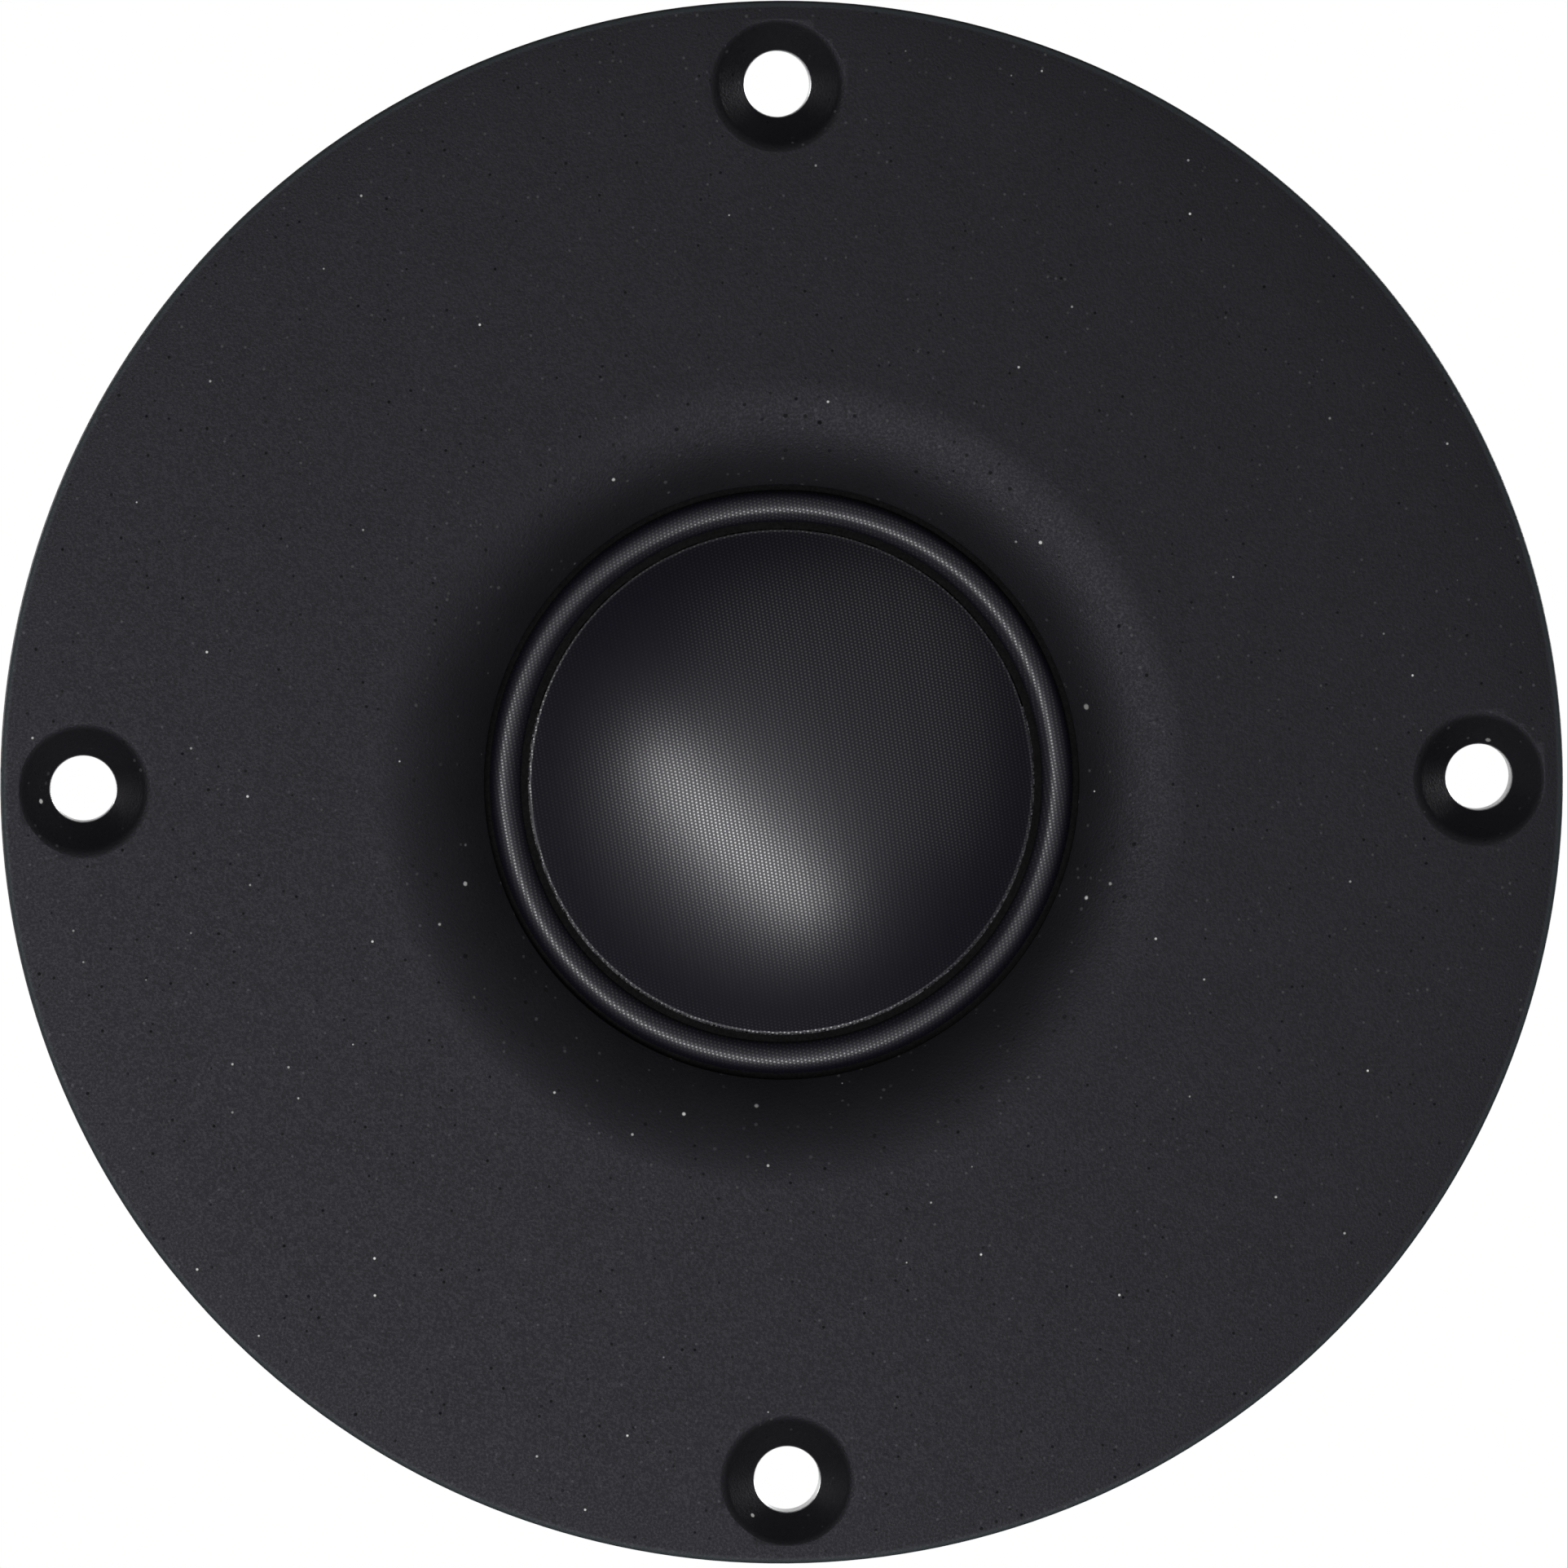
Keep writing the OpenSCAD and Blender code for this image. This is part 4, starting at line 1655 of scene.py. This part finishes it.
@dataclass
class RearChamber:
    """The moulded cup behind the motor and its three screws."""

    cup: float = 22.0
    wall: float = 2.4
    corner: float = 4.0
    flange: float = Span.of("rear_chamber").radius
    rear: float = Span.of("rear_chamber").rear
    front: float = Span.of("rear_chamber").front
    flange_thickness: float = 3.0
    screw_circle: float = 25.2
    screw_hole: float = 1.4
    seal: Point = (20.3, 21.9)
    seal_depth: float = 1.0
    inner_corner: float = 2.2

    def build(self) -> None:
        """Makes the cup and its screws."""
        ledge = self.front - self.flange_thickness
        cup = Bench.lathe("rear_chamber_cup", self.section(), closed=False)
        hole = drill(self.screw_hole, self.screw_circle, ledge - 1, self.front + 1)
        Bench.cut(cup, Bench.copies(hole, CHAMBER_SCREWS))
        Bench.smooth(cup)
        hand_over(cup, "frame", "moulded_black", [Stock.MOULDED], "rear_chamber")
        reach = self.flange_thickness + 3.5
        screw = PanScrew(shank=1.2, head=2.2, thickness=1.5, top=ledge, reach=reach)
        screws = Bench.copies(screw.build("chamber_screw", self.screw_circle), CHAMBER_SCREWS)
        three = Bench.join("chamber_screw_set", screws)
        hand_over(three, "frame", "screw_steel", [Stock.SCREW], "chamber_screws")

    def section(self) -> list[Point]:
        """The cup's half section.

        Returns:
            Its outline from the middle of the back, over the flange, to the middle of the inside.
        """
        ledge = self.front - self.flange_thickness
        inner = self.cup - self.wall
        seat = self.front - self.seal_depth
        centre = (self.cup - self.corner, self.rear + self.corner)
        corners = [
            Corner(0, self.rear),
            Corner(self.cup - self.corner, self.rear),
            *(Corner(*p) for p in arc(centre, self.corner, -78, -12, 8)),
            Corner(self.cup, self.rear + self.corner),
            Corner(self.cup, ledge, 0.6),
            Corner(self.flange, ledge, 0.5),
            Corner(self.flange, self.front, 0.25),
            Corner(self.seal[1], self.front, 0.1),
            Corner(self.seal[1], seat),
            Corner(self.seal[0], seat),
            Corner(self.seal[0], self.front, 0.1),
            Corner(inner, self.front, 0.2),
            Corner(inner, self.rear + self.wall, self.inner_corner),
            Corner(0, self.rear + self.wall),
        ]
        return rounded(corners, closed=False)


@dataclass(frozen=True)
class Blade:
    """A blade terminal: where its middle lies, its width and the radius of its locking hole."""

    node: str
    x: float
    width: float
    hole: float
    thickness: float = 0.8
    z: float = -33.2
    span: Point = (-21.0, -1.6)  # heights of the tip and of the front end
    hole_from_tip: float = 2.6
    tip_thins: float = 0.55

    def slot(self, rear: float) -> bpy.types.Object:
        """The slot that the blade needs in the terminal block.

        Args:
            rear: Height of the block's rear end.

        Returns:
            The shape to cut out.
        """
        half = self.width / 2
        thin = self.thickness / 2
        low = (self.x - half, 1.0, self.z - thin)
        return Bench.block("slot", low, (self.x + half, -rear + 1, self.z + thin))

    def build(self) -> None:
        """Makes the blade with its tapered tip and its locking hole."""
        low, high = self.span
        half = self.width / 2
        thin = self.thickness / 2
        tip = self.width * 0.18
        corner = (self.x - half, -high, self.z - thin)
        blade = Bench.block(f"{self.node}_blade", corner, (self.x + half, -low - tip, self.z + thin))
        Bench.pick(blade)
        bpy.ops.object.mode_set(mode="EDIT")
        bpy.ops.mesh.select_mode(type="FACE")
        rear = (-low - tip - 0.01) * MM
        Bench.take(blade, lambda v: v.co.y > rear)
        bpy.ops.mesh.extrude_region_move(TRANSFORM_OT_translate={"value": (0, tip * MM, 0)})
        narrower = ((half - tip) / half, 1, self.tip_thins)
        bpy.ops.transform.resize(
            value=narrower, center_override=(self.x * MM, -low * MM, self.z * MM)
        )
        Bench.close_up()
        middle = (self.x, -low - self.hole_from_tip, self.z)
        Bench.cut(blade, [Bench.bar(self.hole, middle, 4, 40, turn=0)])
        Bench.soften(blade, 0.06, 40, 2)
        Bench.smooth(blade)
        hand_over(blade, "frame", "tinned_blade", [Stock.TINNED], self.node)


@dataclass
class Terminals:
    """The terminal block in the front plate's notch and its two blades."""

    ear: float = 7.4
    body: float = 6.5
    ear_front: float = -2.1
    front: float = -4.0
    rear: float = -13.0
    inner: float = -31.1
    ear_outer: float = -34.3
    outer: float = 35.7
    blades: tuple[Blade, ...] = (
        Blade("terminal_positive", POSITIVE_X, 4.8, 0.7),
        Blade("terminal_negative", NEGATIVE_X, 2.8, 0.6),
    )

    def build(self) -> None:
        """Makes the block and the blades."""
        low = (-self.ear, -self.ear_front, self.ear_outer)
        ears = Bench.block("ears", low, (self.ear, -self.front, self.inner))
        block = Bench.join("terminal_block_moulding", [ears, self.housing()])
        Bench.soften(block, 0.25, 40, 3)
        for blade in self.blades:
            Bench.cut(block, [blade.slot(self.rear)])
        Bench.smooth(block)
        hand_over(block, "frame", "moulded_black", [Stock.MOULDED], "terminal_block")
        for blade in self.blades:
            blade.build()

    def housing(self) -> bpy.types.Object:
        """The part of the block in the notch, with its outer side on the front plate's circle.

        Returns:
            The part.
        """
        past = -38  # lower than the outer circle, which then trims it
        low = (-self.body, -self.front, past)
        body = Bench.block("housing", low, (self.body, -self.rear, self.inner))
        Bench.combine(body, Bench.bar(self.outer, (0, 0, 0), 40, TURN_STEPS), "INTERSECT")
        return body


class InnerParts:
    """The CAD nodes that stay as they are and only get their finish."""

    FINISHES: dict[str, Finish] = {
        "mounting_ring": Stock.MOULDED,
        "coil_former": Stock.FOIL,
        "coil_winding": Stock.COPPER,
        "copper_cap": Stock.COPPER_CAP,
        "pole_pad": Stock.FELT,
        "vent_damping": Stock.FELT,
        "chamber_wadding": Stock.WADDING,
        "chamber_seal": Stock.RUBBER,
        "locating_pins": Stock.SCREW,
    }

    def build(self) -> None:
        """Puts each finish in its node's material slot."""
        for node, finish in self.FINISHES.items():
            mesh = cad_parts[node].data
            mesh.materials.clear()
            mesh.materials.append(finish.material())
            log.info("%s: %s", node, finish.name)


# ---------------------------------------------------------------------------------------------
# Light, floor and camera
# ---------------------------------------------------------------------------------------------


@dataclass(frozen=True)
class Panel:
    """A soft light: where it stands in metres, and how big and bright it is."""

    name: str
    place: Place
    size: Point
    power: float
    turn: float = 0.0
    spread: float = 180.0
    target: Place = (0.0, 0.0, 0.0)

    def build(self) -> None:
        """Makes the light and aims it at its target, turned about its own axis."""
        data = bpy.data.lights.new(self.name, "AREA")
        data.shape = "RECTANGLE"
        data.size, data.size_y = self.size
        data.energy = self.power
        data.spread = math.radians(self.spread)
        lamp = bpy.data.objects.new(self.name, data)
        bpy.context.collection.objects.link(lamp)
        lamp.location = self.place
        lamp.visible_camera = False
        aim = (Vector(self.target) - Vector(self.place)).to_track_quat("-Z", "Y")
        lamp.rotation_mode = "QUATERNION"
        lamp.rotation_quaternion = aim @ Quaternion((0, 0, 1), math.radians(self.turn))
        log.info("%s: %.2f W", self.name, self.power)


@dataclass(frozen=True)
class Studio:
    """Pale floor, white surround, soft lights and a long lens, in metres and degrees."""

    floor_height: float = -0.3
    floor_width: float = 3.2
    floor_span: Point = (-0.16, 1.5)
    distance: float = 1.0
    side: float = 2.2
    above: float = 2.3
    roll: float = 0.4
    width: float = 0.1042
    sensor: float = 36.0
    glow: float = 0.02
    lights: tuple[Panel, ...] = (
        Panel("key_strip", (-0.085, -0.36, -0.115), (0.085, 0.48), 1.6, 45),
        Panel("front_fill", (0.5, -1.2, 0.42), (2.3, 2.3), 7.4),
        Panel("rear_fill", (1.2, 1.4, 0.35), (1.2, 0.9), 5.0, spread=60),
        Panel("rear_side", (-1.5, 0.9, 0.3), (1.0, 0.8), 3.0, spread=60),
        Panel("white_ground", (0.1, 1.6, 0.05), (1.4, 1.4), 7.0),
    )

    def build(self) -> None:
        """Makes the floor, the surround, the lights and the camera."""
        bpy.context.scene.view_settings.view_transform = "Standard"
        self.floor()
        self.surround()
        for light in self.lights:
            light.build()
        self.camera()

    def floor(self) -> None:
        """A pale floor under the tweeter and behind it."""
        Bench.clear()
        near, far = self.floor_span
        bpy.ops.mesh.primitive_plane_add(size=1, location=(0, (near + far) / 2, self.floor_height))
        floor = bpy.context.object
        floor.name = "floor"
        floor.scale = (self.floor_width, far - near, 1)
        paint = bpy.data.materials.new("floor_paint")
        paint.use_nodes = True
        shader = paint.node_tree.nodes["Principled BSDF"].inputs
        shader["Base Color"].default_value = (0.8, 0.8, 0.8, 1)
        shader["Roughness"].default_value = 0.9
        floor.data.materials.append(paint)
        floor.visible_glossy = False

    def surround(self) -> None:
        """White behind the tweeter for the camera, and much dimmer as light."""
        world = bpy.data.worlds.new("studio")
        bpy.context.scene.world = world
        world.use_nodes = True
        g = Graph(world.node_tree)
        base = world.node_tree.nodes["Background"]
        seen = g.add("ShaderNodeBackground")
        seen.inputs["Color"].default_value = (1, 1, 1, 1)
        seen.inputs["Strength"].default_value = 1.0
        base.inputs["Color"].default_value = (1, 1, 1, 1)
        base.inputs["Strength"].default_value = self.glow
        mixed = g.add("ShaderNodeMixShader")
        g.feed(mixed.inputs[0], g.add("ShaderNodeLightPath").outputs["Is Camera Ray"])
        g.feed(mixed.inputs[1], base.outputs[0])
        g.feed(mixed.inputs[2], seen.outputs[0])
        g.feed(world.node_tree.nodes["World Output"].inputs[0], mixed.outputs[0])

    def camera(self) -> None:
        """A long lens in front of the dome, a little to the left and above."""
        aim = Vector((0, -Span.of("faceplate").front * MM, 0))
        left = math.radians(self.side)
        up = math.radians(self.above)
        back = Vector((-math.sin(left), -math.cos(left) * math.cos(up), math.sin(up))).normalized()
        data = bpy.data.cameras.new("camera")
        data.sensor_width = self.sensor
        data.lens = self.sensor * self.distance / self.width
        data.clip_start = 0.01
        data.clip_end = 20
        camera = bpy.data.objects.new("camera", data)
        bpy.context.collection.objects.link(camera)
        camera.location = aim + back * self.distance
        camera.rotation_mode = "QUATERNION"
        look = (-back).to_track_quat("-Z", "Y")
        camera.rotation_quaternion = look @ Quaternion((0, 0, 1), math.radians(-self.roll))
        bpy.context.scene.camera = camera


def main() -> None:
    """Builds the tweeter's pieces over the frame, then its studio."""
    logging.basicConfig(level=logging.INFO, format="%(message)s")
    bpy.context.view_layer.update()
    for assembly in (Faceplate(), Diaphragm(), Motor(), RearChamber(), Terminals(), InnerParts()):
        assembly.build()
    Studio().build()
    bpy.context.view_layer.update()


if __name__ == "__main__":
    main()
